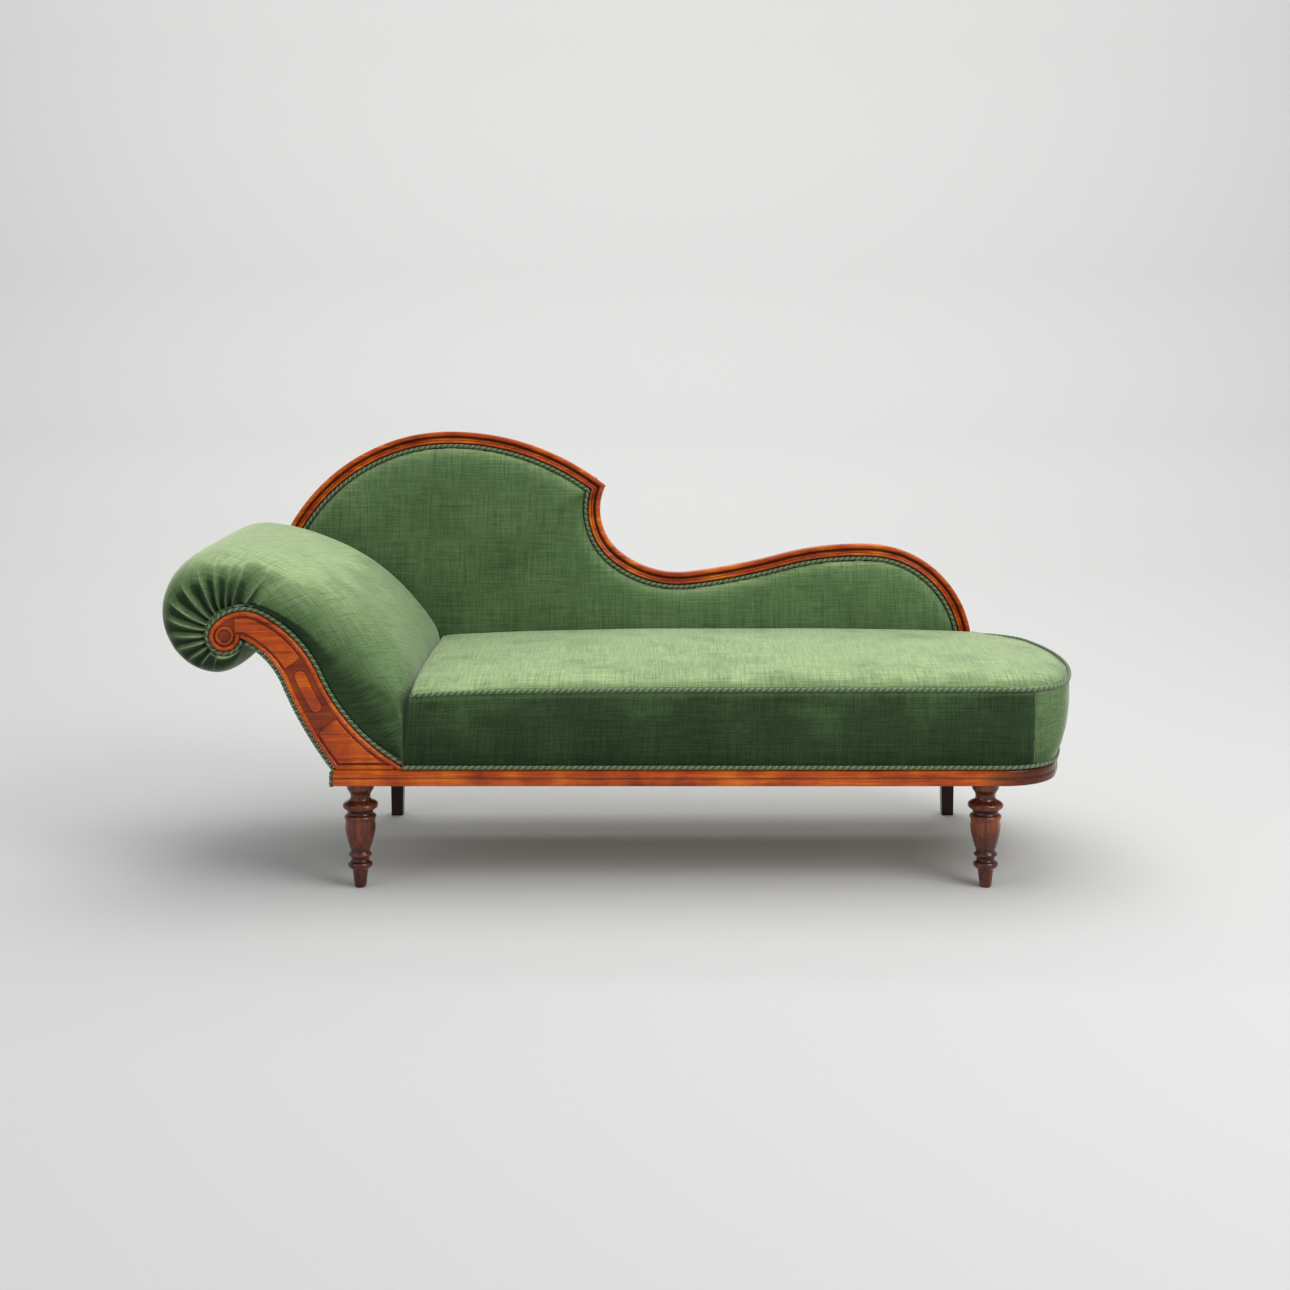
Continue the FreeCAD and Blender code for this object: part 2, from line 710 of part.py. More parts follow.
def scroll_face(grow, level):
    """The scrolled arm as a face without its volute, cut off at a level and at the toe."""
    upper = [shift(arc, grow) for arc in
             chain(panel_upper_start, panel_upper_heading, panel_upper_turns[:3])]
    lower = [shift(arc, -grow) for arc in
             chain(panel_lower_start, panel_lower_heading, panel_lower_turns)]
    deep = level - 5 * panel_border
    toe = at(upper[0], 0)
    heel = at(lower[0], 0)
    toe_run = (toe[1] - deep) / math.sin(math.radians(panel_upper_heading))
    heel_run = (heel[1] - deep) / math.sin(math.radians(panel_lower_heading))
    toe_deep = polar(toe[0], toe[1], -toe_run, panel_upper_heading)
    heel_deep = polar(heel[0], heel[1], -heel_run, panel_lower_heading)
    wire = outline([heel_deep, toe_deep] + along(upper) + backwards(lower))
    keep = Part.makePlane(reach, reach, Vector(panel_toe + grow - reach, level, 0))
    return Part.Face(wire).common(keep).Faces[0]


def scroll_solid(grow, level, depth):
    """The whole scrolled end, arm and volute, as a slab."""
    arm = scroll_face(grow, level).extrude(Vector(0, 0, depth))
    return arm.fuse(disc(panel_upper_turns[3][0] + grow, depth)).removeSplitter()


def separator(first, last):
    """A gap across the scroll between two carved fields, from one place to another."""
    corners = []
    for (arc, share), outwards in ((first, (1, -1)), (last, (-1, 1))):
        x, y = at(arc, share)
        heading = heading_at(arc, share)
        for side in outwards:
            corners.append(polar(x, y, 4 * member_width if side > 0 else member_width,
                                 heading + 90 * side))
    return Part.Face(outline(corners))


def disc(radius, height):
    x, y = volute_eye
    return Part.makeCylinder(radius, height, Vector(x, y, 0))


def scroll_panel():
    """Carved facing of the head end: recessed ground, raised border, three fields, volute."""
    upper = chain(panel_upper_start, panel_upper_heading, panel_upper_turns)
    height = panel_ground + panel_border_rise
    ground = scroll_solid(0, 0, panel_ground)
    rim = scroll_solid(0, 0, height).cut(scroll_solid(-panel_border, panel_border, height))
    volute = panel_upper_turns[3][0]
    ring = disc(volute, height).cut(disc(volute - panel_border, height))
    eye = disc(eye_radius, panel_ground + eye_rise)
    hub = Part.Face(Part.Wire(Part.makeCircle(volute + panel_border / 2, flat(volute_eye))))
    fields = []
    broad = scroll_face(-field_inset, field_inset).cut(hub)
    narrow = scroll_face(-tablet_inset, field_inset).cut(hub)
    gaps = [separator((upper[0], low_field_head), (upper[0], tablet_foot)),
            separator((upper[1], tablet_head), (upper[1], top_field_foot))]
    for gap in gaps:
        broad = broad.cut(gap)
        narrow = narrow.cut(gap)
    ordered = sorted(broad.Faces, key=lambda face: face.CenterOfMass.y)
    middle = sorted(narrow.Faces, key=lambda face: face.CenterOfMass.y)[1]
    for face in (ordered[0], middle, ordered[-1]):
        fields.append(face.extrude(Vector(0, 0, panel_ground + field_rise)))
    panel = joined([ground, rim, ring, eye] + fields)
    return placed(panel, upright(rail_front))


def arm_frames(rail_solids):
    """Two S-shaped boards that carry the head pad, and the rails between them."""
    scroll = scroll_solid(0, 0, arm_board)
    face = scroll_face(0, 0)
    boards = {}
    for name, y in (("arm_frame_front", rail_front + arm_board),
                    ("arm_frame_rear", rail_inner_rear + arm_board)):
        board = placed(scroll, upright(y))
        zone = box(frame_left - seat_gap, 0, rail_front - 1, rail_rear + 1, 0, rail_top)
        boards[name] = board.cut(zone)
    upper = chain(panel_upper_start, panel_upper_heading, panel_upper_turns)
    span = rail_inner_rear - rail_front - arm_board
    pieces = {}
    for name, arc, share in (("head_lower_rail", upper[0], 0.6), ("head_middle_rail", upper[1], 0.5)):
        x, y = at(arc, share)
        heading = heading_at(arc, share)
        half = head_rail_width / 2
        ends = [polar(x, y, half, heading), polar(x, y, -half, heading)]
        out = [polar(p[0], p[1], 10, heading - 90) for p in ends]
        deep = [polar(p[0], p[1], head_rail_thickness, heading + 90) for p in ends]
        wire = outline([out[0], deep[0], deep[1], out[1]])
        section = Part.Face(wire).common(face)
        pieces[name] = placed(section.extrude(Vector(0, 0, span)), upright(rail_inner_rear))
    eye = flat(volute_eye)
    bar = Part.makeCylinder(scroll_bar_radius, span, eye, Vector(0, 0, 1))
    pieces["head_scroll_rail"] = placed(bar, upright(rail_inner_rear))
    return boards, pieces


def band(arcs, inner, outer):
    """The strip between two offsets of a chain of arcs, as a face."""
    near = [shift(arc, inner) for arc in arcs]
    far = [shift(arc, outer) for arc in arcs]
    return Part.Face(outline(along(near) + backwards(far)))


def head_base():
    """Webbing and hessian over the head's boards, and the cover on its outer side."""
    upper = chain(panel_upper_start, panel_upper_heading, panel_upper_turns)
    carried = upper[:3]
    above = Part.makePlane(reach, reach, Vector(-reach, rail_top + 1 - moulding_top, 0))
    web = band(carried, seat_gap, seat_gap + web_thickness).common(above)
    webs = []
    inner_front = rail_front + arm_board
    room = rail_inner_rear - inner_front
    for i in range(head_webs):
        middle = inner_front + room * (i + 0.5) / head_webs
        webs.append(placed(web.extrude(Vector(0, 0, web_width)), upright(middle + web_width / 2)))
    level = 2 * seat_gap + web_thickness
    lining = band(carried, level, level + hessian_thickness).common(above)
    depth = rail_inner_rear + arm_board - rail_front
    hessian = placed(lining.extrude(Vector(0, 0, depth)), upright(rail_inner_rear + arm_board))
    lower = chain(panel_lower_start, panel_lower_heading, panel_lower_turns)
    under = band(lower, -seat_gap, -seat_gap - outside_cover)
    outside = placed(under.extrude(Vector(0, 0, depth)), upright(rail_inner_rear + arm_board))
    return Part.makeCompound(webs), hessian, outside


def head_profile(grow, toward_eye, lift=0.0):
    """Closed profile of the stuffed head: seam, top, roll, neck and S-shaped outside."""
    seam_top = pad_start
    arcs = [shift(arc, grow) for arc in chain(seam_top, pad_heading, pad_turns)]
    roll = arcs[2]
    roll = roll._replace(x=roll.x + (volute_eye[0] - roll.x) * toward_eye,
                         y=roll.y + (volute_eye[1] - roll.y) * toward_eye)
    lower = chain(panel_lower_start, panel_lower_heading, panel_lower_turns)
    neck_point = at(lower[-1], 1)
    under = (neck_point[0] - 26, neck_point[1] - 60 * roll.radius / pad_turns[2][0])
    foot = seat_gap
    heel = at(lower[0], 0)
    steps = [(seam_foot - seat_gap, foot), at(arcs[0], 0), (at(arcs[0], 0.5), at(arcs[0], 1)),
             (at(arcs[1], 0.5), at(roll, 0)), (at(roll, 0.25), at(roll, 0.5)),
             (at(roll, 0.75), at(roll, 1)), (under, neck_point)] + backwards(lower)[1:]
    steps[-1] = (steps[-1][0], (heel[0], foot))
    return outline(steps, lift)


def head_pad():
    """Head stuffing, and the cover with its wadding, over the boards, hessian and webbing."""
    wires = [placed(head_profile(drop, toward), upright(y)) for y, drop, toward in pad_slices]
    outer = faceted_loft(wires)
    front = pad_slices[0][0] + pad_core_ends
    rear = pad_slices[-1][0] - pad_core_ends
    inner = slab(head_profile(pad_core_drop, 0), rear - front, upright(rear))
    stuffing = slab(head_profile(pad_core_drop - seat_gap, 0), rear - front - 2 * seat_gap,
                    upright(rear - seat_gap))
    below = -2 * panel_border
    core = placed(scroll_solid(head_lining + seat_gap, below, reach), upright(reach / 2))
    rope_room = scroll_solid(2 * cord_radius + 2 * seat_gap, below, arm_board)
    rope_room = placed(rope_room, upright(rail_front - seat_gap))
    rails_zone = box(-reach, 0, rail_front - seat_gap, reach, 0, rail_top + seat_gap)
    solids = []
    for shape in (outer.cut(inner), stuffing):
        for zone in (core, rope_room, rails_zone):
            shape = shape.cut(zone)
        solids.append(shape)
    return solids


def arm_cord():
    """Rope round the scroll panel: up its upper edge, round the volute, and its lower edge."""
    right = cord_radius + seat_gap
    upper = [shift(arc, right) for arc in
             chain(panel_upper_start, panel_upper_heading, panel_upper_turns)]
    lower = [shift(arc, -right) for arc in
             chain(panel_lower_start, panel_lower_heading, panel_lower_turns)]
    lower[-1] = part_of(lower[-1], 0, 0.86)
    lower[0] = part_of(lower[0], 0.04, 1)
    runs = [cord(upper), cord(lower)]
    lift = -cord_radius - seat_gap + moulding_depth
    return placed(Part.makeCompound(runs), upright(rail_front).multiply(
        Placement(Vector(0, 0, lift - 2), Rotation())))


def seat():
    """Seat covers, stuffing, hessian and the rope at the upper and lower seams."""
    def body(shrink, slices):
        wires = []
        for height, proud, out in slices:
            z = moulding_top + height
            left = seam_x(z) + shrink
            wires.append(seat_outline(z, proud - shrink, out, left))
        return faceted_loft(wires)

    back_zone = box(-reach, back_end, seat_rear, reach, 0, reach)
    rails_zone = joined([box(-reach, foot_straight + 1, rail_front - seat_gap, reach, 0,
                             rail_top + seat_gap),
                         bowed_zone(rail_top + seat_gap)])
    outer = body(0, seat_slices)
    core_top = moulding_top + seat_slices[-3][0] - cover_thickness
    core_left = seam_x(core_top) + 3 * cover_thickness
    core_proud = seat_slices[0][1] - cover_thickness

    def core(shrink, foot):
        face = Part.Face(seat_outline(foot, core_proud - shrink, 0, core_left + shrink))
        return face.extrude(Vector(0, 0, core_top - shrink - foot))

    inner = core(0, moulding_top - 10)
    stuffing = core(seat_gap, rail_top + seat_gap)
    cavity_top = moulding_top + spring_seat_height
    cavity = Part.Face(seat_outline(rail_top - 5, -seat_edge_wall, 0, seam_foot + seat_edge_wall))
    cavity = cavity.extrude(Vector(0, 0, cavity_top + hessian_thickness + seat_gap - rail_top + 5))
    cavity_rear = seat_rear - seat_edge_wall / 2
    cavity = cavity.common(box(-reach, reach, -reach, cavity_rear, 0, reach))
    cover = outer.cut(inner).cut(back_zone).cut(rails_zone)
    stuffing = stuffing.cut(back_zone).cut(cavity)
    seam_z = moulding_top + seat_seam
    upper_half = box(-reach, reach, -reach, reach, seam_z, reach)
    lower_half = box(-reach, reach, -reach, reach, 0, seam_z)
    hessian = Part.Face(seat_outline(cavity_top, -seat_edge_wall - 1, 0, seam_foot + seat_edge_wall + 1))
    hessian = hessian.extrude(Vector(0, 0, hessian_thickness))
    hessian = hessian.common(box(-reach, reach, -reach, cavity_rear - 1, 0, reach))
    return {"seat_top_cover": cover.common(upper_half),
            "seat_border": cover.common(lower_half),
            "seat_stuffing": stuffing,
            "seat_hessian": hessian}


def bowed_zone(top):
    arcs = bow(-moulding_depth + seat_gap)
    wire = outline(along(arcs))
    return Part.Face(wire).extrude(Vector(0, 0, top))


def seat_cord(height, proud, out):
    """Rope along the front, round the foot and back to the back frame."""
    lift = moulding_top + height
    arcs = [shift(arc, proud + cord_radius) for arc in bow(0.0, out)]
    start = at(arcs[0], 0)
    left = seam_x(lift)
    end = at(arcs[-1], 1)
    path = [Line(left, start[1], 0.0, start[0] - left)] + arcs
    if end[0] > back_end:
        path.append(Line(end[0], end[1], 180.0, end[0] - back_end))
    rope = placed(cord(path), Placement(Vector(0, 0, lift), Rotation()))
    return rope.cut(box(-reach, back_end, 0, reach, 0, reach))


def spring(x, y, floor, top):
    """One hourglass coil's outer form, plain because the seat hides it."""
    corners = [polar(x, y, spring_radius, 360 / spring_sides * (i + 0.5))
               for i in range(spring_sides)]
    return Part.Face(outline(corners, floor)).extrude(Vector(0, 0, top - floor))


def seat_inside():
    """Webbing under the rails, springs on it, and the twine that ties them."""
    half = web_width / 2
    crossing = []
    for i in range(cross_webs):
        x = cross_web_first + cross_web_step * i
        crossing.append(box(x - half, x + half, rail_front + 8, rail_rear - 8,
                            rail_bottom - web_thickness, rail_bottom))
    reach = bow(-moulding_depth - rail_thickness / 2)
    lengthwise = []
    for y in spring_rows:
        end = max(at(arc, share)[0] for arc in reach for share in (0, 0.5, 1))
        lengthwise.append(box(frame_left + 8, end - 10, y - half, y + half,
                              rail_bottom - 2 * web_thickness, rail_bottom - web_thickness))
    spring_columns = [spring_first + spring_step * i for i in range(springs_in_row)]
    floor = rail_bottom + seat_gap
    top = moulding_top + spring_seat_height - twine - seat_gap
    springs = []
    for x in spring_columns:
        for y in spring_rows:
            springs.append(spring(x, y, floor, top))
    strings = []
    t = twine / 2
    first, last = spring_columns[0] - spring_radius, spring_columns[-1] + spring_radius
    for y in spring_rows:
        strings.append(box(first, last, y - t, y + t, top + t, top + twine))
    front, rear = spring_rows[0] - spring_radius, spring_rows[-1] + spring_radius
    for x in spring_columns:
        strings.append(box(x - t, x + t, front, rear, top, top + t))
    return {"seat_webbing": Part.makeCompound(crossing + lengthwise),
            "seat_springs": Part.makeCompound(springs),
            "spring_twine": Part.makeCompound(strings)}


def couch():
    """Every piece of the couch by name."""
    parts = dict(rails())
    blocks, screws, bores = corner_blocks()
    for name in ("front_rail", "rear_rail"):
        for bore in bores:
            parts[name] = parts[name].cut(bore)
    parts["corner_blocks"] = Part.makeCompound(blocks)
    parts["block_screws"] = Part.makeCompound(screws)
    parts["front_moulding"], parts["foot_moulding"] = mouldings()
    parts["front_leg_head"] = front_leg(head_leg_x)
    parts["front_leg_foot"] = front_leg(foot_leg_x)
    parts["rear_leg_head"] = rear_leg(head_leg_x)
    parts["rear_leg_foot"] = rear_leg(foot_leg_x)
    frame = back_frame()
    dowels = frame.pop("back_dowels")
    parts.update(frame)
    parts["back_dowels"] = dowels
    parts.update(back_inside(frame))
    parts["back_cord"] = back_cord()
    parts["scroll_panel"] = scroll_panel()
    boards, cross_rails = arm_frames(parts)
    parts.update(boards)
    parts.update(cross_rails)
    parts["head_webbing"], parts["head_hessian"], parts["head_outside_cover"] = head_base()
    parts["head_cover"], parts["head_stuffing"] = head_pad()
    parts["arm_cord"] = arm_cord()
    parts.update(seat())
    parts.update(seat_inside())
    parts["seat_top_cord"] = seat_cord(seat_seam, top_cord_proud, seat_slices[3][2])
    parts["seat_base_cord"] = seat_cord(cord_radius + seat_gap, base_cord_proud, 0.0)
    return parts


def centred(parts):
    """Moves everything so that the origin is on the floor, under the middle."""
    whole = Part.makeCompound(list(parts.values())).optimalBoundingBox(False, False)
    move = Vector(-whole.Center.x, -whole.Center.y, -whole.ZMin)
    place = Placement(move, Rotation())
    return {name: placed(shape, place) for name, shape in parts.items()}, move


os.makedirs("parts", exist_ok=True)
pieces, moved = centred(couch())
for name, shape in pieces.items():
    shape.exportStep("parts/" + name + ".step")
print(len(pieces), "pieces, moved by", moved)
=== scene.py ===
import json
import math
from collections import namedtuple

import bmesh
import bpy
from mathutils import Matrix, Vector, kdtree, noise


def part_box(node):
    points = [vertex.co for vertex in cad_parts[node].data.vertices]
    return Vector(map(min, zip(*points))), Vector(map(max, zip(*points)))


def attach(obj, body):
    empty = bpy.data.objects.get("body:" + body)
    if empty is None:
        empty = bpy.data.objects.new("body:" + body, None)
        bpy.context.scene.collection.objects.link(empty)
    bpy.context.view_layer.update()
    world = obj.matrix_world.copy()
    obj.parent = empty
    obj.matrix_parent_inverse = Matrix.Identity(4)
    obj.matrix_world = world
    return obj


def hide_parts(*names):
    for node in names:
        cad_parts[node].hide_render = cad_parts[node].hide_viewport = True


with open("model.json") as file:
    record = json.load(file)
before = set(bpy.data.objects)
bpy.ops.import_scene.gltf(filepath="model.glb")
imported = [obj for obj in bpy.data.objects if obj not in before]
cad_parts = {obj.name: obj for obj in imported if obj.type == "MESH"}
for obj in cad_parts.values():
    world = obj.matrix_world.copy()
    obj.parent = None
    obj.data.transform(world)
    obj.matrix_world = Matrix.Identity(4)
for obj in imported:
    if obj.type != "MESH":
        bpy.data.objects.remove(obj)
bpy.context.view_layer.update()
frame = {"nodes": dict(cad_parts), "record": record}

# Sizes in millimetres and angles in degrees, the same as the construction's
leg_height = 203.0
front_leg_y = -287.0
head_leg_x = -512.0
foot_leg_x = 704.5
rail_front = -310.0
rail_rear = 258.0
rail_top = 276.0
moulding_depth = 12.0
moulding_height = 32.0
moulding_left = -560.0
moulding_top = 235.0
moulding_joint = 746.0
foot_straight = 736.0
corner_radius = 120.0
foot_end_radius = 700.0
back_lean = 5.0
back_face = 226.0
back_thickness = 32.0
back_end = 762.0
member_width = 34.0
cord_radius = 4.5
arm_board_rear = 248.0
seam_foot = -426.0
seam_lean = 0.1
seat_rear = 216.0
top_cord_height = 156.0
top_cord_out = 18.0
eye = (-770.0, 493.0)
upper_start = (-434.5, 244.6)
upper_heading = 149.8
upper_turns = [(381.0, -35.5), (239.9, 38.6), (75.6, 79.2), (29.7, 200.0)]
lower_start = (-554.6, 235.0)
lower_heading = 127.8
lower_turns = [(746.7, -14.8), (165.4, 44.0)]
crown_point = (-400.8, 571.2)
arch_radius = 405.9
arch_turn = 75.0
crown_radius = 562.1
crown_turn = 38.2
sweep_heading = -116.0
sweep_turns = [(120.9, 78.2), (209.6, 44.5), (1409.9, 8.2)]
hump_turn = (700.5, -17.3)
foot_turn = (228.5, -91.9)
pad_start = (-410.8, 388.0)
pad_heading = 95.3
pad_turns = [(113.8, 27.7), (477.0, 51.0), (125.0, 176.0)]

# Sizes of the cloth and the carving alone
seat_front = rail_front - moulding_depth + 1.0
border_seam = 797.0
cord_droop = 11.0
pleat_depth = 15.0
panel_ground = 7.0
field_top = 11.5

# The construction is centred on its box, so its drawing is moved by this much.
leg_low, leg_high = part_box("front_leg_head")
centring = Vector(((leg_low.x + leg_high.x) / 2 - head_leg_x / 1000,
                   (leg_low.y + leg_high.y) / 2 - front_leg_y / 1000, 0))
to_room = Matrix.Translation(centring) @ Matrix.Scale(0.001, 4)

Arc = namedtuple("Arc", "x y radius start turn")
Line = namedtuple("Line", "x y heading length")


# Arcs and lines of the drawing

def polar(x, y, radius, angle):
    return (x + radius * math.cos(math.radians(angle)), y + radius * math.sin(math.radians(angle)))


def chain(start, heading, turns):
    """Tangent arcs from a start point: each turn is (radius, degrees), left positive."""
    arcs = []
    x, y = start
    for radius, turn in turns:
        side = 90.0 if turn > 0 else -90.0
        cx, cy = polar(x, y, radius, heading + side)
        arcs.append(Arc(cx, cy, radius, heading - side, turn))
        x, y = polar(cx, cy, radius, heading - side + turn)
        heading += turn
    return arcs


def moved(run, right):
    """The arc or line moved to the right of its travel."""
    if isinstance(run, Line):
        x, y = polar(run.x, run.y, right, run.heading - 90)
        return run._replace(x=x, y=y)
    grow = right if run.turn > 0 else -right
    return run._replace(radius=run.radius + grow)


def stretch(arc, first, last):
    """The part of an arc between two shares of it."""
    return arc._replace(start=arc.start + arc.turn * first, turn=arc.turn * (last - first))


def reversed_run(arc):
    return arc._replace(start=arc.start + arc.turn, turn=-arc.turn)


def spot(run, share):
    if isinstance(run, Line):
        return polar(run.x, run.y, run.length * share, run.heading)
    return polar(run.x, run.y, run.radius, run.start + run.turn * share)


def facing(run, share):
    if isinstance(run, Line):
        return run.heading
    return run.start + run.turn * share + (90.0 if run.turn > 0 else -90.0)


def run_length(run):
    if isinstance(run, Line):
        return run.length
    return abs(math.radians(run.turn)) * run.radius


def total_length(runs):
    return sum(run_length(run) for run in runs)


def walk(runs, count):
    """Points at equal steps along a path, each with its heading."""
    total = total_length(runs)
    places = []
    for i in range(count):
        left = total * i / (count - 1)
        for run in runs:
            length = run_length(run)
            if left <= length or run is runs[-1]:
                share = min(left / length, 1.0)
                places.append((spot(run, share), facing(run, share)))
                break
            left -= length
    return places


def straight(start, end):
    heading = math.degrees(math.atan2(end[1] - start[1], end[0] - start[0]))
    return Line(*start, heading, math.dist(start, end))


def half_turn(start, end):
    """Half a circle to the left from one point to another."""
    middle = ((start[0] + end[0]) / 2, (start[1] + end[1]) / 2)
    angle = math.degrees(math.atan2(start[1] - middle[1], start[0] - middle[0]))
    return Arc(*middle, math.dist(start, end) / 2, angle, 180.0)


def tangent_arc(start, heading, end):
    """The arc that leaves a point along a heading and reaches another point."""
    swing = math.degrees(math.atan2(end[1] - start[1], end[0] - start[0])) - heading
    swing = (swing + 180) % 360 - 180
    radius = math.dist(start, end) / (2 * math.sin(math.radians(abs(swing))))
    return chain(start, heading, [(radius, 2 * swing)])[0]


def crossing(first, second, near):
    """Where two arcs cross, nearest to a given point."""
    span = math.dist((first.x, first.y), (second.x, second.y))
    lead = (span ** 2 + first.radius ** 2 - second.radius ** 2) / (2 * span)
    rise = math.sqrt(first.radius ** 2 - lead ** 2)
    heading = math.degrees(math.atan2(second.y - first.y, second.x - first.x))
    base = polar(first.x, first.y, lead, heading)
    found = [polar(base[0], base[1], rise * side, heading + 90) for side in (1, -1)]
    return min(found, key=lambda point: math.dist(point, near))


def bearing(arc, point):
    return math.degrees(math.atan2(point[1] - arc.y, point[0] - arc.x))


def smooth(value, low, high):
    share = min(1.0, max(0.0, (value - low) / (high - low)))
    return share * share * (3 - 2 * share)


def bow(proud, out=0.0):
    """The bowed foot end in plan: two corner arcs and the end arc."""
    front = rail_front - moulding_depth
    half = (rail_rear + moulding_depth - front) / 2
    lead = math.degrees(math.acos((half - corner_radius) / (foot_end_radius - corner_radius)))
    turns = [(corner_radius, lead), (foot_end_radius, 180 - 2 * lead), (corner_radius, lead)]
    return [moved(arc, proud) for arc in chain((foot_straight + out, front), 0.0, turns)]


def seam_x(z):
    return seam_foot + seam_lean * (z - moulding_top)


def cord_dip(x):
    """How far the cord of the seat's top droops, most at the head's seam and fading to the foot."""
    fade = 170
    past_seam = max(0.0, x - seam_x(moulding_top + top_cord_height))
    return cord_droop * math.exp(-past_seam / fade)


def round_the_seat(proud, out, left):
    """Plan path along the front and round the foot to the end of the back."""
    arcs = bow(proud, out)
    x, y = spot(arcs[0], 0)
    last = arcs[-1]
    stop = math.degrees(math.acos((back_end + 2.0 - last.x) / last.radius))
    arcs[-1] = last._replace(turn=stop - last.start)
    return [Line(left, y, 0.0, x - left)] + arcs


def back_runs():
    """The outer edge of the back frame by member, and its peak."""
    arch_start = polar(crown_point[0], crown_point[1] - arch_radius, arch_radius, 90 + arch_turn)
    arch = chain(arch_start, arch_turn, [(arch_radius, -arch_turn)])[0]
    crown = chain(crown_point, 0.0, [(crown_radius, -crown_turn)])[0]
    peak = spot(crown, 1)
    swept = chain(peak, sweep_heading, sweep_turns + [hump_turn, foot_turn])
    tail = spot(swept[4], 1)
    drop = Line(tail[0], tail[1], facing(swept[4], 1), tail[1] + back_thickness)
    members = {"back_head_arch": [stretch(arch, 0, 0.55)],
               "back_crown_arch": [stretch(arch, 0.55, 1), crown],
               "back_sweep": swept[:3],
               "back_hump": [swept[3], stretch(swept[4], 0, 0.3)],
               "back_foot_curve": [stretch(swept[4], 0.3, 1), drop]}
    return members, peak


def back_path(inset):
    """The back frame's outline moved inwards: its arch and the rest, which meet under the peak."""
    members, peak = back_runs()
    arch = [moved(arc, inset) for arc in members["back_head_arch"] + members["back_crown_arch"]]
    swept = members["back_sweep"] + members["back_hump"] + members["back_foot_curve"][:1]
    rest = [moved(arc, inset) for arc in swept]
    corner = crossing(arch[-1], rest[0], peak)
    arch[-1] = arch[-1]._replace(turn=bearing(arch[-1], corner) - arch[-1].start)
    swing = (bearing(rest[0], corner) - rest[0].start + 180) % 360 - 180
    rest[0] = rest[0]._replace(start=rest[0].start + swing, turn=rest[0].turn - swing)
    return arch, rest


def arm_upper(right=0.0):
    """The scrolled arm's upper edge, from the seat round the volute, moved to its right."""
    return [moved(arc, right) for arc in chain(upper_start, upper_heading, upper_turns)]


def arm_lower(right=0.0):
    """The scrolled arm's lower edge, from the rail to the volute, moved to its right."""
    return [moved(arc, right) for arc in chain(lower_start, lower_heading, lower_turns)]


# Planes that shapes are drawn in

def upright(y):
    """Drawn x, y become width and height, and drawn z points to the front."""
    return Matrix.Translation((0, y, 0)) @ Matrix.Rotation(math.radians(90), 4, "X")


def leaning():
    tilt = Matrix.Rotation(math.radians(90 - back_lean), 4, "X")
    return Matrix.Translation((0, back_face, rail_top)) @ tilt


# Mesh tools

def edges_in(geometry):
    return [part for part in geometry if isinstance(part, bmesh.types.BMEdge)]


def verts_in(geometry):
    return [part for part in geometry if isinstance(part, bmesh.types.BMVert)]


def into_scene(thing):
    bpy.context.scene.collection.objects.link(thing)
    return thing


def finish(name, bm, material, nodes=(), plane=None, crease=35.0, close=True):
    """Turns a drawn mesh into a piece of the couch that stands for its nodes."""
    bmesh.ops.transform(bm, matrix=to_room @ (plane or Matrix()), verts=bm.verts)
    if close:
        bmesh.ops.recalc_face_normals(bm, faces=bm.faces)
    for face in bm.faces:
        face.smooth = True
    for edge in bm.edges:
        if len(edge.link_faces) == 2 and edge.calc_face_angle(0) > math.radians(crease):
            edge.smooth = False
    mesh = bpy.data.meshes.new(name)
    bm.to_mesh(mesh)
    bm.free()
    piece = into_scene(bpy.data.objects.new(name, mesh))
    mesh.materials.append(material)
    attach(piece, "root")
    if nodes:
        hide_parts(*nodes)
    return piece


def thicken(piece, depth, offset=-1):
    """Gives a skin its thickness in metres, inwards unless an offset says otherwise."""
    solid = piece.modifiers.new("thickness", "SOLIDIFY")
    solid.thickness = depth
    solid.offset = offset


def drawn_on(bm, geometry, ahead):
    """Extrudes verts and edges by a step and gives back their far end."""
    edges = edges_in(geometry)
    if edges:
        grown = bmesh.ops.extrude_edge_only(bm, edges=edges)["geom"]
    else:
        grown = bmesh.ops.extrude_vert_indiv(bm, verts=geometry)["verts"]
    verts = verts_in(grown)
    bmesh.ops.translate(bm, verts=verts, vec=ahead)
    return verts + [edge for edge in edges_in(grown) if all(vert in verts for vert in edge.verts)]


def spun(bm, geometry, run, step):
    """Carries verts and edges along one arc or line and gives back its far end."""
    if isinstance(run, Line):
        count = max(1, round(run.length / step / 4))
        ahead = Vector((*polar(0, 0, run.length / count, run.heading), 0))
        for _ in range(count):
            geometry = drawn_on(bm, geometry, ahead)
        return geometry
    count = max(2, math.ceil(run_length(run) / step))
    result = bmesh.ops.spin(bm, geom=geometry, cent=(run.x, run.y, 0), axis=(0, 0, 1),
                            angle=math.radians(run.turn), steps=count, use_duplicate=False)
    return result["geom_last"]


def traced(bm, start, runs, step):
    """Draws a path of arcs and lines as edges, and gives back its last vert."""
    here = start
    for run in runs:
        target = spot(run, 0)
        if math.dist(here.co.xy, target) > 0.01:
            here = bmesh.ops.extrude_vert_indiv(bm, verts=[here])["verts"][0]
            here.co = (*target, start.co.z)
        here = verts_in(spun(bm, [here], run, step))[0]
    return here


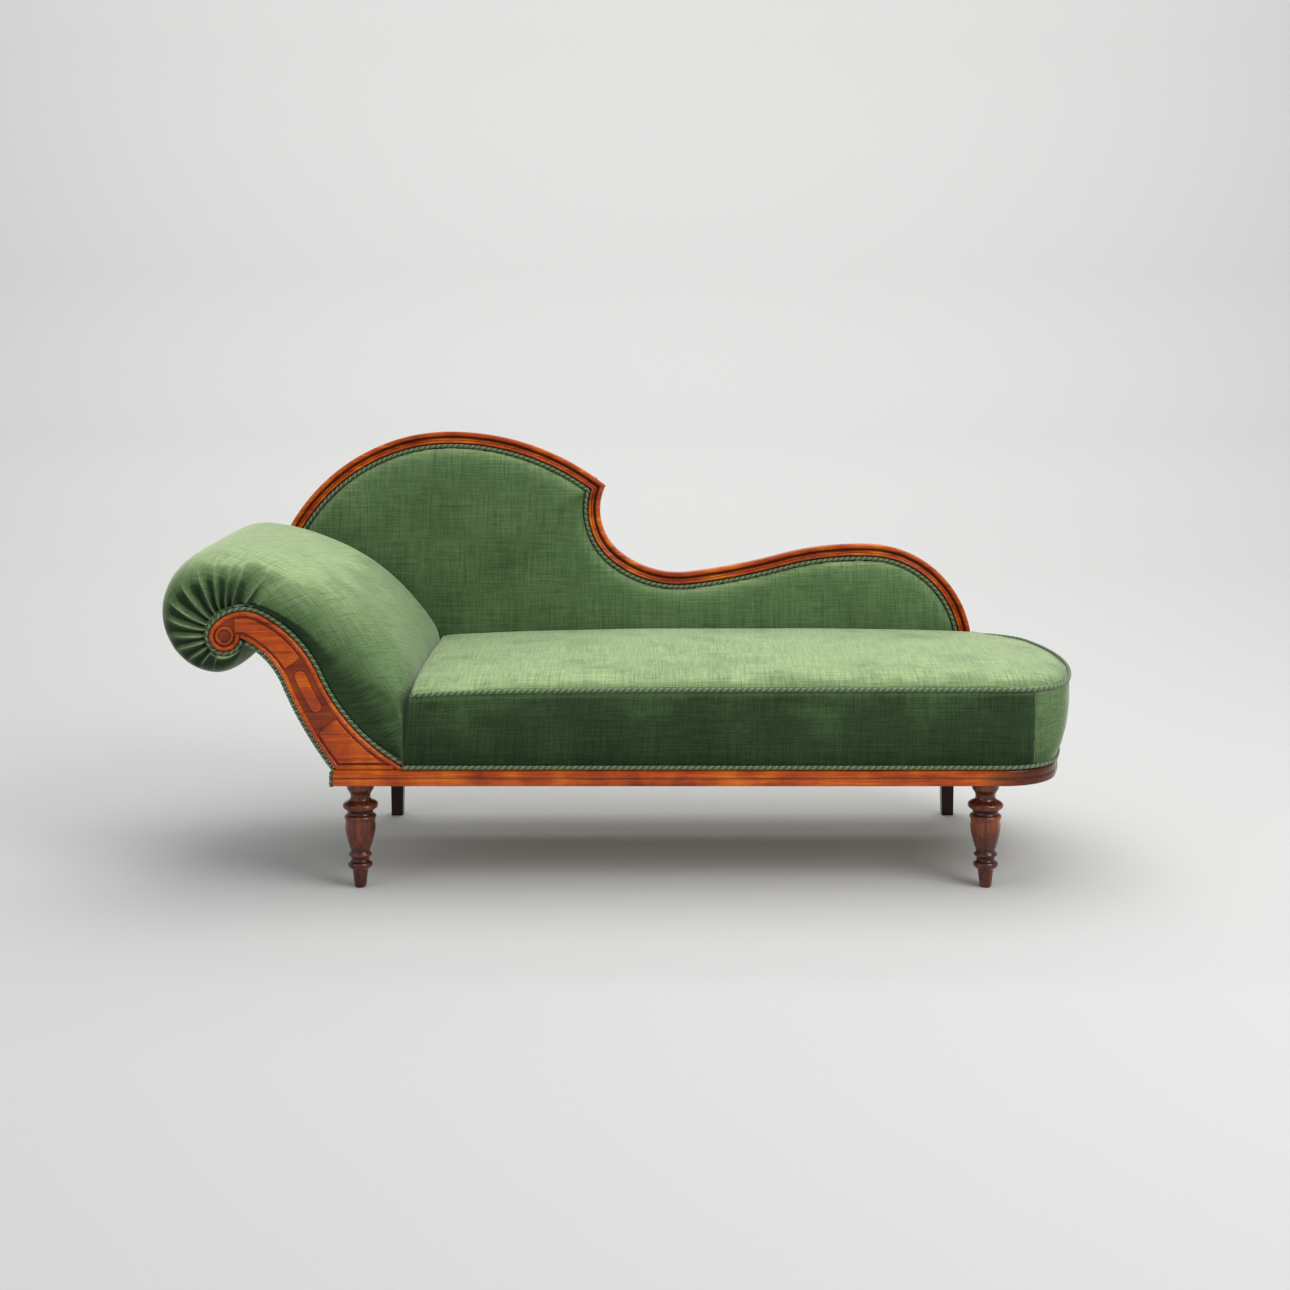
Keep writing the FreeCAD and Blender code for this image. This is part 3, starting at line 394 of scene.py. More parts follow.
def filled(bm, runs, step, lift=0.0):
    """Draws a flat face inside a closed path."""
    first = bm.verts.new((*spot(runs[0], 0), lift))
    last = traced(bm, first, runs, step)
    bm.edges.new((last, first))
    bmesh.ops.contextual_create(bm, geom=[edge for edge in bm.edges if edge.is_wire])


def raised(bm, faces, height):
    """Extrudes flat faces up by a height and gives back their upper verts."""
    grown = bmesh.ops.extrude_face_region(bm, geom=faces)["geom"]
    verts = verts_in(grown)
    bmesh.ops.translate(bm, verts=verts, vec=(0, 0, height))
    return verts


def carried(bm, section, runs, step, closed=True):
    """Carries a drawn section along a path. The section is (right of travel, up, painted shade of its
    groove).
    """
    groove = bm.verts.layers.float.get("groove") or bm.verts.layers.float.new("groove")
    x, y = spot(runs[0], 0)
    heading = facing(runs[0], 0)
    verts = []
    for right, up, groove_shade in section:
        px, py = polar(x, y, right, heading - 90)
        vert = bm.verts.new((px, py, up))
        vert[groove] = groove_shade
        verts.append(vert)
    pairs = list(zip(verts, verts[1:]))
    if closed:
        pairs.append((verts[-1], verts[0]))
    edges = [bm.edges.new(pair) for pair in pairs]
    geometry = verts + edges
    if closed:
        bmesh.ops.edgeloop_fill(bm, edges=edges)
    for run in runs:
        geometry = spun(bm, geometry, run, step)
    if closed:
        bmesh.ops.edgeloop_fill(bm, edges=edges_in(geometry))
    bmesh.ops.remove_doubles(bm, verts=bm.verts, dist=0.001)


def half_round(start, width, rise, base, count, groove_shade_ends):
    """Section points of a bead: a low half circle between two edges, with painted groove shade at both
    edges.
    """
    points = []
    for i in range(count + 1):
        angle = math.pi * i / count
        across = start + width * (1 - math.cos(angle)) / 2
        groove_shade = groove_shade_ends if i in (0, count) else 0.0
        points.append((across, base + rise * math.sin(angle), groove_shade))
    return points


def lathe(bm, profile, x, y, sides=72):
    """Turns a (height, radius) profile round an upright axis."""
    verts = [bm.verts.new((x + radius, y, z)) for z, radius in profile]
    edges = [bm.edges.new(pair) for pair in zip(verts, verts[1:])]
    bmesh.ops.spin(bm, geom=verts + edges, cent=(x, y, 0), axis=(0, 0, 1),
                   angle=math.tau, steps=sides, use_merge=True, use_duplicate=False)
    bmesh.ops.remove_doubles(bm, verts=bm.verts, dist=0.001)


def rows_bridged(bm, rows):
    """Skins equal rows of (point, place on the cloth and depth of its fold) into a sheet, keeping the fold's
    depth for the velvet's painted shade in the folds.
    """
    layers = bm.verts.layers.float_vector
    cloth = layers.get("cloth") or layers.new("cloth")
    before = None
    for row in rows:
        verts = []
        for point, (u, v, *fold) in row:
            vert = bm.verts.new(point)
            vert[cloth] = (u / 1000, v / 1000, sum(fold))
            verts.append(vert)
        edges = [bm.edges.new(pair) for pair in zip(verts, verts[1:])]
        if before:
            bmesh.ops.bridge_loops(bm, edges=before + edges)
        before = edges


# Materials

def node_material(name):
    material = bpy.data.materials.new(name)
    material.use_nodes = True
    tree = material.node_tree
    shader = tree.nodes["Principled BSDF"]
    return material, tree, shader


def plug(tree, node, inputs):
    """Gives a node's inputs, named or numbered, their links or values."""
    for key, value in inputs.items():
        if isinstance(value, bpy.types.NodeSocket):
            tree.links.new(value, node.inputs[key])
        else:
            node.inputs[key].default_value = value


def add(tree, kind, inputs, **settings):
    node = tree.nodes.new(kind)
    for key, value in settings.items():
        setattr(node, key, value)
    plug(tree, node, inputs)
    return node


def object_space(tree, scale=(1, 1, 1)):
    place = add(tree, "ShaderNodeTexCoord", {}).outputs["Object"]
    return add(tree, "ShaderNodeMapping", {"Vector": place, "Scale": scale}).outputs["Vector"]


def mottle(tree, vector, scale, **more):
    """Uneven cloudy values over a space."""
    return add(tree, "ShaderNodeTexNoise", {"Vector": vector, "Scale": scale, **more}).outputs["Fac"]


def reckoned(tree, operation, *values):
    return add(tree, "ShaderNodeMath", dict(enumerate(values)), operation=operation).outputs[0]


def attribute(tree, name, output):
    return add(tree, "ShaderNodeAttribute", {}, attribute_name=name).outputs[output]


def axis(tree, vector, letter):
    return add(tree, "ShaderNodeSeparateXYZ", {"Vector": vector}).outputs[letter]


def mapped(tree, value, low, high, to_low=0.0, to_high=1.0):
    node = add(tree, "ShaderNodeMapRange", {"Value": value, "From Min": low, "From Max": high,
                                            "To Min": to_low, "To Max": to_high})
    return node.outputs["Result"]


def mixed(tree, factor, first, second, blend="MIX"):
    """Mixes two colours, whose sockets are numbers 6 and 7 of the node."""
    colours = [(*colour, 1) if isinstance(colour, tuple) else colour for colour in (first, second)]
    node = add(tree, "ShaderNodeMix", {}, data_type="RGBA", blend_type=blend)
    plug(tree, node, {0: factor, 6: colours[0], 7: colours[1]})
    return node.outputs[2]


def colour_ramp(tree, factor, stops):
    ramp = add(tree, "ShaderNodeValToRGB", {"Fac": factor})
    elements = ramp.color_ramp.elements
    while len(elements) < len(stops):
        elements.new(0.5)
    for element, (place, colour) in zip(elements, stops):
        element.position = place
        element.color = (*colour, 1)
    return ramp.outputs["Color"]


def bumped(tree, height, strength, distance):
    return add(tree, "ShaderNodeBump", {"Height": height, "Strength": strength,
                                        "Distance": distance}).outputs["Normal"]


def velvet(name, lift=0.0, weave_turn=0.0):
    """Short-piled velvet with painted light: paler where it faces up and darker where it faces down, with
    painted shade in its folds, paler all over by lift, and with slubs along both threads.
    """
    material, tree, shader = node_material(name)
    normal = add(tree, "ShaderNodeNewGeometry", {}).outputs["Normal"]
    cloudy = mottle(tree, object_space(tree), 9.0, Detail=4.0, Roughness=0.6)
    # lift paints the whole cloth paler, as if better lit; the cloudy noise is a random unevenness of tone.
    uneven = mapped(tree, cloudy, 0.3, 0.7, lift - 0.09, lift + 0.09)
    # Painted light: the more a face points up, the paler it is painted, and the more it points down, the
    # darker.
    painted_light_level = reckoned(tree, "ADD", axis(tree, normal, "Z"), uneven)
    cloth = attribute(tree, "cloth", "Vector")
    # Painted shade in the folds: the deeper the fold, the darker the velvet is painted.
    painted_fold_shade = -0.34
    sunk = reckoned(tree, "MULTIPLY_ADD", axis(tree, cloth, "Z"), painted_fold_shade, painted_light_level)
    share = mapped(tree, sunk, -0.25, 1.0)
    base = colour_ramp(tree, share, [(0.0, (0.016, 0.034, 0.013)), (0.2, (0.030, 0.057, 0.023)),
                                     (0.3, (0.060, 0.110, 0.042)), (0.6, (0.110, 0.185, 0.078)),
                                     (0.78, (0.135, 0.212, 0.090)), (0.92, (0.18, 0.268, 0.118)),
                                     (1.0, (0.285, 0.39, 0.183))])
    turned = add(tree, "ShaderNodeMapping", {"Vector": cloth, "Rotation": (0, 0, weave_turn)})
    threads = []
    for scale in ((900, 30, 1), (30, 900, 1), (300, 9, 1), (9, 300, 1)):
        stretched = add(tree, "ShaderNodeMapping", {"Vector": turned.outputs["Vector"], "Scale": scale})
        threads.append(mottle(tree, stretched.outputs["Vector"], 1.0, Detail=3.0, Roughness=0.65))
    slubs = threads[0]
    for thread in threads[1:]:
        slubs = reckoned(tree, "ADD", slubs, thread)
    shade = mapped(tree, slubs, 1.66, 2.34)
    darker = mixed(tree, 1.0, base, (0.52, 0.60, 0.55), "MULTIPLY")
    lighter = mixed(tree, 1.0, base, (1.55, 1.43, 1.48), "MULTIPLY")
    pile = mottle(tree, object_space(tree), 1400.0, Detail=2.0)
    plug(tree, shader, {"Base Color": mixed(tree, shade, darker, lighter), "Roughness": 0.92,
                        "Specular IOR Level": 0.12, "Sheen Weight": 0.9, "Sheen Roughness": 0.32,
                        "Sheen Tint": (0.70, 0.80, 0.60, 1),
                        "Normal": bumped(tree, reckoned(tree, "ADD", slubs, pile), 0.2, 0.0005)})
    return material


def polished_wood(name, dark, middle, light, groove, grain=(3.0, 60.0, 60.0), painted_shade_in_grooves=True, roughness=0.3,
                  darkens=None, gloss=0.28):
    """Stained and polished wood with its grain, with painted shade in the grooves, and worn in places."""
    material, tree, shader = node_material(name)
    end_dark = (0.040, 0.008, 0.002)
    fibres = mottle(tree, object_space(tree, grain), 2.2, Detail=7.0, Roughness=0.62, Distortion=0.6)
    cloudy = mottle(tree, object_space(tree), 13.0, Detail=3.0)
    both = reckoned(tree, "ADD", fibres, cloudy)
    colour = colour_ramp(tree, mapped(tree, both, 0.7, 1.3), [(0.0, dark), (0.5, middle), (1.0, light)])
    # The groove colour darkens the pores of the grain, and is also the painted shade in the grooves.
    pores = mottle(tree, object_space(tree, [way * 9 for way in grain]), 4.0, Detail=2.0)
    colour = mixed(tree, mapped(tree, pores, 0.62, 0.72, 0.0, 0.45), colour, groove)
    # Painted shade: darker by each vertex's groove weight, where the surface runs into a groove or hollow.
    if painted_shade_in_grooves:
        colour = mixed(tree, attribute(tree, "groove", "Fac"), colour, groove)
    if darkens:
        ragged = reckoned(tree, "MULTIPLY_ADD", both, 0.16, axis(tree, object_space(tree), "X"))
        colour = mixed(tree, mapped(tree, ragged, *darkens, 0.0, 0.9), colour, end_dark)
    rough = mapped(tree, cloudy, 0.3, 0.7, roughness - 0.06, roughness + 0.1)
    plug(tree, shader, {"Base Color": colour, "Roughness": rough, "Specular IOR Level": 0.2,
                        "Coat Weight": gloss, "Coat Roughness": 0.1,
                        "Normal": bumped(tree, both, 0.12, 0.0006)})
    return material


def fibre(name, dark, light, scale, roughness=0.85, bump_strength=0.4, sheen=0.1):
    """Plain woven or twisted fibre with a fine uneven colour."""
    material, tree, shader = node_material(name)
    fine = mottle(tree, object_space(tree), scale, Detail=4.0, Roughness=0.7)
    plug(tree, shader, {"Base Color": mixed(tree, mapped(tree, fine, 0.35, 0.65), dark, light),
                        "Roughness": roughness, "Sheen Weight": sheen,
                        "Normal": bumped(tree, fine, bump_strength, 0.0004)})
    return material


def woven(name, dark, light, pitch):
    """Plain weave: threads over and under at a pitch in metres."""
    material, tree, shader = node_material(name)
    vector = object_space(tree)
    waves = []
    for letter in ("X", "Y"):
        turns = reckoned(tree, "MULTIPLY", axis(tree, vector, letter), math.tau / pitch)
        waves.append(reckoned(tree, "SINE", turns))
    crossed = reckoned(tree, "MULTIPLY", *waves)
    height = reckoned(tree, "ADD", crossed, mottle(tree, vector, 220.0, Detail=3.0))
    # Painted shade: the colour is darker where the threads dip under and paler where they cross over, with a
    # random tone from the noise.
    plug(tree, shader, {"Base Color": mixed(tree, mapped(tree, height, -0.6, 1.4), dark, light),
                        "Roughness": 0.9, "Normal": bumped(tree, height, 0.5, 0.0005)})
    return material


def drawn_steel(name, colour):
    material, tree, shader = node_material(name)
    marks = mottle(tree, object_space(tree), 160.0, Detail=4.0)
    dull = mixed(tree, mapped(tree, marks, 0.4, 0.7), colour, (0.22, 0.16, 0.11))
    plug(tree, shader, {"Base Color": dull, "Metallic": 0.9,
                        "Roughness": mapped(tree, marks, 0.3, 0.7, 0.3, 0.55)})
    return material


velvet_cloth = velvet("velvet")
# These copies are painted lighter by lift, as if better lit: the back, and the head's velvet on the bias.
# The foot's border is painted lighter still, partly for its turned nap and partly as painted light.
velvet_leaning_painted_lighter = velvet("velvet_of_the_back_painted_lighter", lift=0.15)
velvet_bias_painted_lighter = velvet("velvet_on_the_bias_painted_lighter", lift=0.13, weave_turn=math.radians(20))
velvet_turned_painted_lighter = velvet("velvet_with_its_nap_turned_painted_lighter", lift=0.50)
show_wood = polished_wood("show_wood", (0.17, 0.013, 0.001), (0.48, 0.066, 0.002), (0.80, 0.20, 0.006),
                          (0.045, 0.005, 0.001))
rail_wood = polished_wood("rail_wood", (0.17, 0.013, 0.001), (0.50, 0.070, 0.002), (0.80, 0.20, 0.006),
                          (0.045, 0.005, 0.001), darkens=(0.86, 0.93))
carved_ground = polished_wood("carved_ground", (0.12, 0.010, 0.002), (0.26, 0.033, 0.003),
                              (0.38, 0.065, 0.004), (0.035, 0.004, 0.001), painted_shade_in_grooves=False)
leg_wood = polished_wood("leg_wood", (0.030, 0.005, 0.002), (0.105, 0.019, 0.005), (0.30, 0.065, 0.012),
                         (0.010, 0.002, 0.001), grain=(60.0, 60.0, 3.0), roughness=0.26, gloss=0.6)
dark_wood = polished_wood("dark_wood", (0.010, 0.004, 0.003), (0.020, 0.008, 0.005), (0.040, 0.016, 0.008),
                          (0.004, 0.002, 0.001), grain=(60.0, 60.0, 3.0), painted_shade_in_grooves=False, roughness=0.38)
plain_wood = polished_wood("plain_wood", (0.24, 0.15, 0.08), (0.36, 0.24, 0.13), (0.47, 0.33, 0.19),
                           (0.12, 0.07, 0.035), painted_shade_in_grooves=False, roughness=0.7)
# The dark ply is the rope's colour painted darker, as painted shade between the strands; the light ply
# carries the rope's own colour.
rope_painted_darker = fibre("rope_ply_painted_darker", (0.028, 0.052, 0.020), (0.085, 0.135, 0.054), 900.0,
                  roughness=0.6, bump_strength=0.5, sheen=0.25)
rope_light = fibre("rope_light_ply", (0.080, 0.135, 0.055), (0.23, 0.32, 0.150), 900.0,
                   roughness=0.55, bump_strength=0.5, sheen=0.25)
webbing = woven("webbing", (0.26, 0.19, 0.11), (0.52, 0.42, 0.27), 0.0045)
hessian = woven("hessian", (0.20, 0.14, 0.08), (0.42, 0.33, 0.20), 0.0026)
lining = woven("lining", (0.020, 0.030, 0.016), (0.045, 0.066, 0.035), 0.0011)
hair = fibre("hair", (0.10, 0.07, 0.045), (0.26, 0.19, 0.12), 300.0)
steel = drawn_steel("drawn_steel", (0.42, 0.41, 0.40))
twine_fibre = fibre("waxed_twine", (0.30, 0.24, 0.15), (0.52, 0.44, 0.30), 700.0)

# Every piece of the construction gets one of these finishes, which shows where the piece is kept.
finishes = {"frame_wood": plain_wood, "rear_leg_wood": dark_wood, "leg_wood": leg_wood,
            "show_wood": show_wood, "screw_steel": steel, "spring_steel": steel, "webbing": webbing,
            "hessian": hessian, "stuffing": hair, "lining": lining, "velvet": velvet_cloth,
            "rope": rope_painted_darker, "twine": twine_fibre}
for subpart in frame["record"]["subparts"]:
    mesh = frame["nodes"][subpart["node"]].data
    mesh.materials.clear()
    mesh.materials.append(finishes[subpart["material_slot"]])


# Legs

def turned_legs():
    """Legs turned to a profile of (height, radius), with painted shade in their hollows."""
    profile = [(0, 0.01), (0, 9.6), (1.2, 10.7), (5, 11.8), (12, 12.6), (19, 13.4), (27, 14.4), (33, 15.2),
               (36, 16), (37.6, 18), (38.6, 20.6), (40.5, 22.6), (43, 24.0), (46, 24.5), (48.6, 23.4),
               (50.5, 21), (51.6, 18.8), (53.5, 17.6), (56, 17.2), (58.4, 18), (60, 19.4), (61.4, 21.4),
               (63, 22.8), (64.8, 23.2), (66.6, 22.6), (68.4, 21), (69.8, 19.2), (72.5, 18.7), (75, 19.4),
               (79, 21), (84, 22.6), (90, 24.2), (97, 26.0), (104, 27.8), (111, 29.0), (118, 29.6),
               (124, 29.4), (129, 28.9), (132.4, 28.6), (134, 29.6), (135.6, 31), (137.4, 31.5),
               (139.2, 31), (140.8, 29.6), (142.2, 27.4), (144, 25.4), (146.2, 24.6), (148.4, 25.4),
               (150.4, 26.8), (152, 28.4), (153.4, 30.8), (155.2, 33), (157.6, 34.3), (160, 34.6),
               (162.4, 33.8), (164.4, 32), (166.2, 29), (167.8, 25.4), (169.6, 22.6), (172, 20.6),
               (175, 19.4), (178.5, 19.1), (182, 20), (186, 22), (189.4, 24.4), (191.5, 25.8),
               (193, 26.4), (203, 26.4), (203, 0.01)]
    # Hollows with painted shade: (from height, to height, strength).
    grooves = [(50, 58, 0.7), (69, 76, 0.6), (141, 151, 0.7), (166, 186, 0.4)]
    for name, x in (("front_leg_head", head_leg_x), ("front_leg_foot", foot_leg_x)):
        bm = bmesh.new()
        layer = bm.verts.layers.float.new("groove")
        lathe(bm, profile, x, front_leg_y)
        for vert in bm.verts:
            vert[layer] = max([groove_shade for low, high, groove_shade in grooves if low <= vert.co.z <= high] or [0])
        finish(name.replace("leg", "turned_leg"), bm, leg_wood, [name], crease=60)


# Show wood of the back

def back_section():
    """Section of the back's frame: two beads with a groove between them, and a rebate."""
    # The third numbers are painted shade: in the groove, at the beads' edges and in the rebate.
    section = [(0.0, -back_thickness, 0), (0.0, -4.2, 0)]
    section += half_round(0.0, 10.0, 4.2, -4.2, 8, 0.3)[1:]
    section += [(10.6, -6.6, 1.0), (12.0, -7.6, 1.0), (13.6, -7.4, 0.9), (15.6, -5.6, 0.35),
                (17.6, -3.4, 0.0), (18.6, -3.0, 0.1), (19.2, -4.6, 0.9)]
    section += half_round(19.8, 6.0, 3.4, -4.2, 7, 0.8)
    section += [(26.0, -7.0, 1.0), (26.0, -14.0, 1.0), (member_width, -14.0, 0.5),
                (member_width, -back_thickness, 0)]
    return section


def sawn(bm, point, outward):
    """Saws a member through and closes the cut."""
    geometry = bm.verts[:] + bm.edges[:] + bm.faces[:]
    cut = bmesh.ops.bisect_plane(bm, geom=geometry, plane_co=point, plane_no=outward, clear_outer=True)
    bmesh.ops.edgeloop_fill(bm, edges=edges_in(cut["geom_cut"]))


def back_members():
    """The five lengths of the frame, mitred at the peak and cut off on the rail."""
    members, peak = back_runs()
    mitre = math.radians((180 - crown_turn + sweep_heading + 360) / 2)
    across = Vector((-math.sin(mitre), math.cos(mitre), 0))
    for name, runs in members.items():
        bm = bmesh.new()
        carried(bm, back_section(), runs, 5.0)
        side = {"back_crown_arch": 1, "back_sweep": -1}.get(name)
        if side:
            sawn(bm, (*peak, 0), across * side)
        bmesh.ops.transform(bm, matrix=leaning(), verts=bm.verts)
        if name == "back_foot_curve":
            sawn(bm, (0, 0, rail_top), Vector((0, 0, -1)))
        finish(name + "_moulded", bm, show_wood, [name])


# Show moulding on the rails

def rail_mouldings():
    """Front and foot moulding: its face is given as (depth sunk, height, painted groove shade)."""
    face = [(3.4, 0, 0.2), (1.0, 1.2, 0), (0, 4.0, 0), (0, 11.0, 0), (0.3, 13.6, 0.1), (1.2, 14.8, 0.5),
            (1.3, 16.0, 0.6), (0.4, 17.0, 0.1), (0, 18.6, 0), (0, 26.0, 0), (0.9, 29.4, 0), (3.2, 31.6, 0.1),
            (5.0, moulding_height, 0.4)]
    section = [(0, leg_height, 0)]
    section += [(moulding_depth - sunk, up + leg_height, groove_shade) for sunk, up, groove_shade in face]
    section += [(0, leg_height + moulding_height, 0.4)]
    arcs = bow(-moulding_depth)
    lead = math.degrees(math.asin((moulding_joint - foot_straight) / corner_radius)) / arcs[0].turn
    along = Line(moulding_left, rail_front, 0.0, foot_straight - moulding_left)
    bm = bmesh.new()
    carried(bm, section, [along, stretch(arcs[0], 0, lead)], 5.0)
    finish("front_moulding_grooved", bm, rail_wood, ["front_moulding"])
    bm = bmesh.new()
    carried(bm, section, [stretch(arcs[0], lead, 1)] + arcs[1:], 5.0)
    finish("foot_moulding_worn", bm, rail_wood, ["foot_moulding"])


# Carved scroll panel

def arm_face(bm, grow, level):
    """The scrolled arm as a flat face, moved out by grow and cut off at a level."""
    upper = arm_upper(grow)[:3]
    lower = arm_lower(-grow)
    toe = Line(*polar(*spot(upper[0], 0), -90, upper_heading), upper_heading, 90)
    heel = Line(*spot(lower[0], 0), lower_heading + 180, 90)
    filled(bm, [toe] + upper + [reversed_run(arc) for arc in reversed(lower)] + [heel], 2.5)
    cut_flat(bm, (0, level), -90)


def cut_flat(bm, point, outward):
    """Cuts a flat drawing and takes away what lies on the outward side."""
    normal = (*polar(0, 0, 1, outward), 0)
    geometry = bm.verts[:] + bm.edges[:] + bm.faces[:]
    bmesh.ops.bisect_plane(bm, geom=geometry, plane_co=(*point, 0), plane_no=normal, clear_outer=True)


def carved_field(name, bm, plane):
    """A raised field with its edges eased."""
    top = raised(bm, bm.faces[:], field_top)
    rim = [edge for edge in bm.edges if all(vert in top for vert in edge.verts)]
    bmesh.ops.bevel(bm, geom=rim, offset=1.8, affect="EDGES", segments=3, profile=0.5, material=-1)
    finish(name, bm, show_wood, [], plane, crease=50)


def panel_board(plane):
    """Flat ground of the panel, which the beads and fields stand on."""
    bm = bmesh.new()
    arm_face(bm, -0.5, moulding_top)
    cut_flat(bm, (-431.0, 0), 0)
    raised(bm, bm.faces[:], panel_ground)
    finish("scroll_ground", bm, carved_ground, ["scroll_panel"], plane)


def border_beads(plane):
    """Beads along both edges of the panel, the upper one round the volute too."""
    # The bead's third numbers are painted shade at its edges.
    bead = [(0.0, 0.0, 0.3)] + half_round(-0.2, -8.6, 5.2, panel_ground, 8, 0.3)
    bead += [(-9.2, panel_ground - 1.5, 1.0), (-9.2, 0.0, 1.0)]
    upper = arm_upper()
    lead_in = Line(*polar(*spot(upper[0], 0), -14, upper_heading), upper_heading, 14)
    bm = bmesh.new()
    carried(bm, bead, [lead_in] + upper[:3] + [stretch(upper[3], 0, 1.12)], 2.5)
    cut_flat(bm, (0, moulding_top + 1), -90)
    bmesh.ops.holes_fill(bm, edges=bm.edges, sides=0)
    finish("scroll_upper_bead", bm, show_wood, [], plane)
    bm = bmesh.new()
    carried(bm, [(-right, up, groove_shade) for right, up, groove_shade in bead], arm_lower(), 2.5)
    finish("scroll_lower_bead", bm, show_wood, [], plane)


def volute(plane):
    """Ring, recessed disc and centre mark, with painted shade beside the ring."""
    profile = [(rise + panel_ground, radius) for rise, radius in
               ((-panel_ground, 26.0), (-0.5, 23.0), (-0.5, 18.4), (2.2, 17.8), (4.2, 16.6), (4.8, 15.2),
                (4.0, 13.6), (1.2, 12.8), (0.6, 12.0), (0.9, 6.0), (0.5, 3.2), (1.6, 2.4), (2.0, 0.01))]
    ring_inside = 13
    ring_outside = 18
    bm = bmesh.new()
    groove = bm.verts.layers.float.new("groove")
    lathe(bm, profile, eye[0], eye[1], 48)
    for vert in bm.verts:
        radius = math.dist(vert.co.xy, eye)
        vert[groove] = 0.85 if radius > ring_outside else 0.6 if radius < ring_inside else 0.0
    finish("scroll_volute", bm, show_wood, [], plane)


def carved_fields(plane):
    """Three raised fields: low on the arm, at its top, and a tablet with round ends between them."""
    margin = 13.0
    upper = arm_upper()
    low_end = (spot(upper[0], 0.62), facing(upper[0], 0.62))
    top_foot = (spot(upper[1], 0.29), facing(upper[1], 0.29) + 180)
    fields = {"scroll_low_field": [((0, moulding_top + margin), -90), low_end],
              "scroll_top_field": [top_foot, ((eye[0] + 20, 0), 180)]}
    for name, cuts in fields.items():
        bm = bmesh.new()
        arm_face(bm, -margin, moulding_top - 40)
        for point, outward in cuts:
            cut_flat(bm, point, outward)
        bmesh.ops.dissolve_degenerate(bm, dist=0.05, edges=bm.edges)
        carved_field(name, bm, plane)
    side = [stretch(upper[0], 0.79, 1), stretch(upper[1], 0, 0.085)]
    near = [moved(arc, -20.5) for arc in side]
    far = [reversed_run(moved(arc, -41.5)) for arc in reversed(side)]
    upper_end = half_turn(spot(near[-1], 1), spot(far[0], 0))
    lower_end = half_turn(spot(far[-1], 1), spot(near[0], 0))
    bm = bmesh.new()
    filled(bm, near + [upper_end] + far + [lower_end], 2.0)
    carved_field("scroll_tablet", bm, plane)


def foot_band(plane):
    """Half-round band under the low field."""
    level = panel_ground + 3.5
    # The band's third numbers are painted shade at its edges.
    band = [(0, 0, 0), (0, level, 0)]
    band += [(-right, up, groove_shade) for right, up, groove_shade in half_round(0, 9.0, 2.0, level, 6, 0.4)]
    band += [(-9.0, 0, 0.8)]
    bm = bmesh.new()
    carried(bm, band, [Line(-552.0, moulding_top + 0.5, 0.0, 108.0)], 4.0)
    finish("scroll_foot_band", bm, show_wood, [], plane)


def scroll_panel():
    plane = upright(rail_front)
    panel_board(plane)
    border_beads(plane)
    volute(plane)
    carved_fields(plane)
    foot_band(plane)


# Rope trims

def strand(thickness, facets, points):
    """A round strand through points, as a mesh."""
    curve = bpy.data.curves.new("strand", "CURVE")
    curve.dimensions = "3D"
    curve.bevel_depth = thickness / 2
    curve.bevel_resolution = facets
    curve.use_fill_caps = True
    line = curve.splines.new("POLY")
    line.points.add(len(points) - 1)
    for knot, point in zip(line.points, points):
        knot.co = (*point, 1)
    holder = bpy.data.objects.new("strand", curve)
    mesh = bpy.data.meshes.new_from_object(holder)
    bm = bmesh.new()
    bm.from_mesh(mesh)
    bpy.data.objects.remove(holder)
    bpy.data.curves.remove(curve)
    bpy.data.meshes.remove(mesh)
    return bm


def rope(name, runs, lift, plane, nodes, sag=None):
    """Two-ply twisted rope laid along a drawn path, one ply painted darker as the shade between the strands.
    """
    pitch = 12.5
    ply_thickness = 4.7
    ply_out = 1.8
    turn_points = 10
    total = total_length(runs)
    count = max(8, round(total / pitch * turn_points))
    places = walk(runs, count)
    for shade, phase, material, stands_for in (("dark", 0.0, rope_painted_darker, nodes),
                                               ("light", math.pi, rope_light, ())):
        points = []
        for i, ((x, y), heading) in enumerate(places):
            turn = math.tau * total * i / (count - 1) / pitch + phase
            px, py = polar(x, y, ply_out * math.cos(turn), heading - 90)
            height = lift + ply_out * math.sin(turn) - (sag(px) if sag else 0.0)
            points.append((px, py, height))
        bm = strand(ply_thickness, 2, points)
        finish(f"{name}_{shade}_ply", bm, material, stands_for, plane)


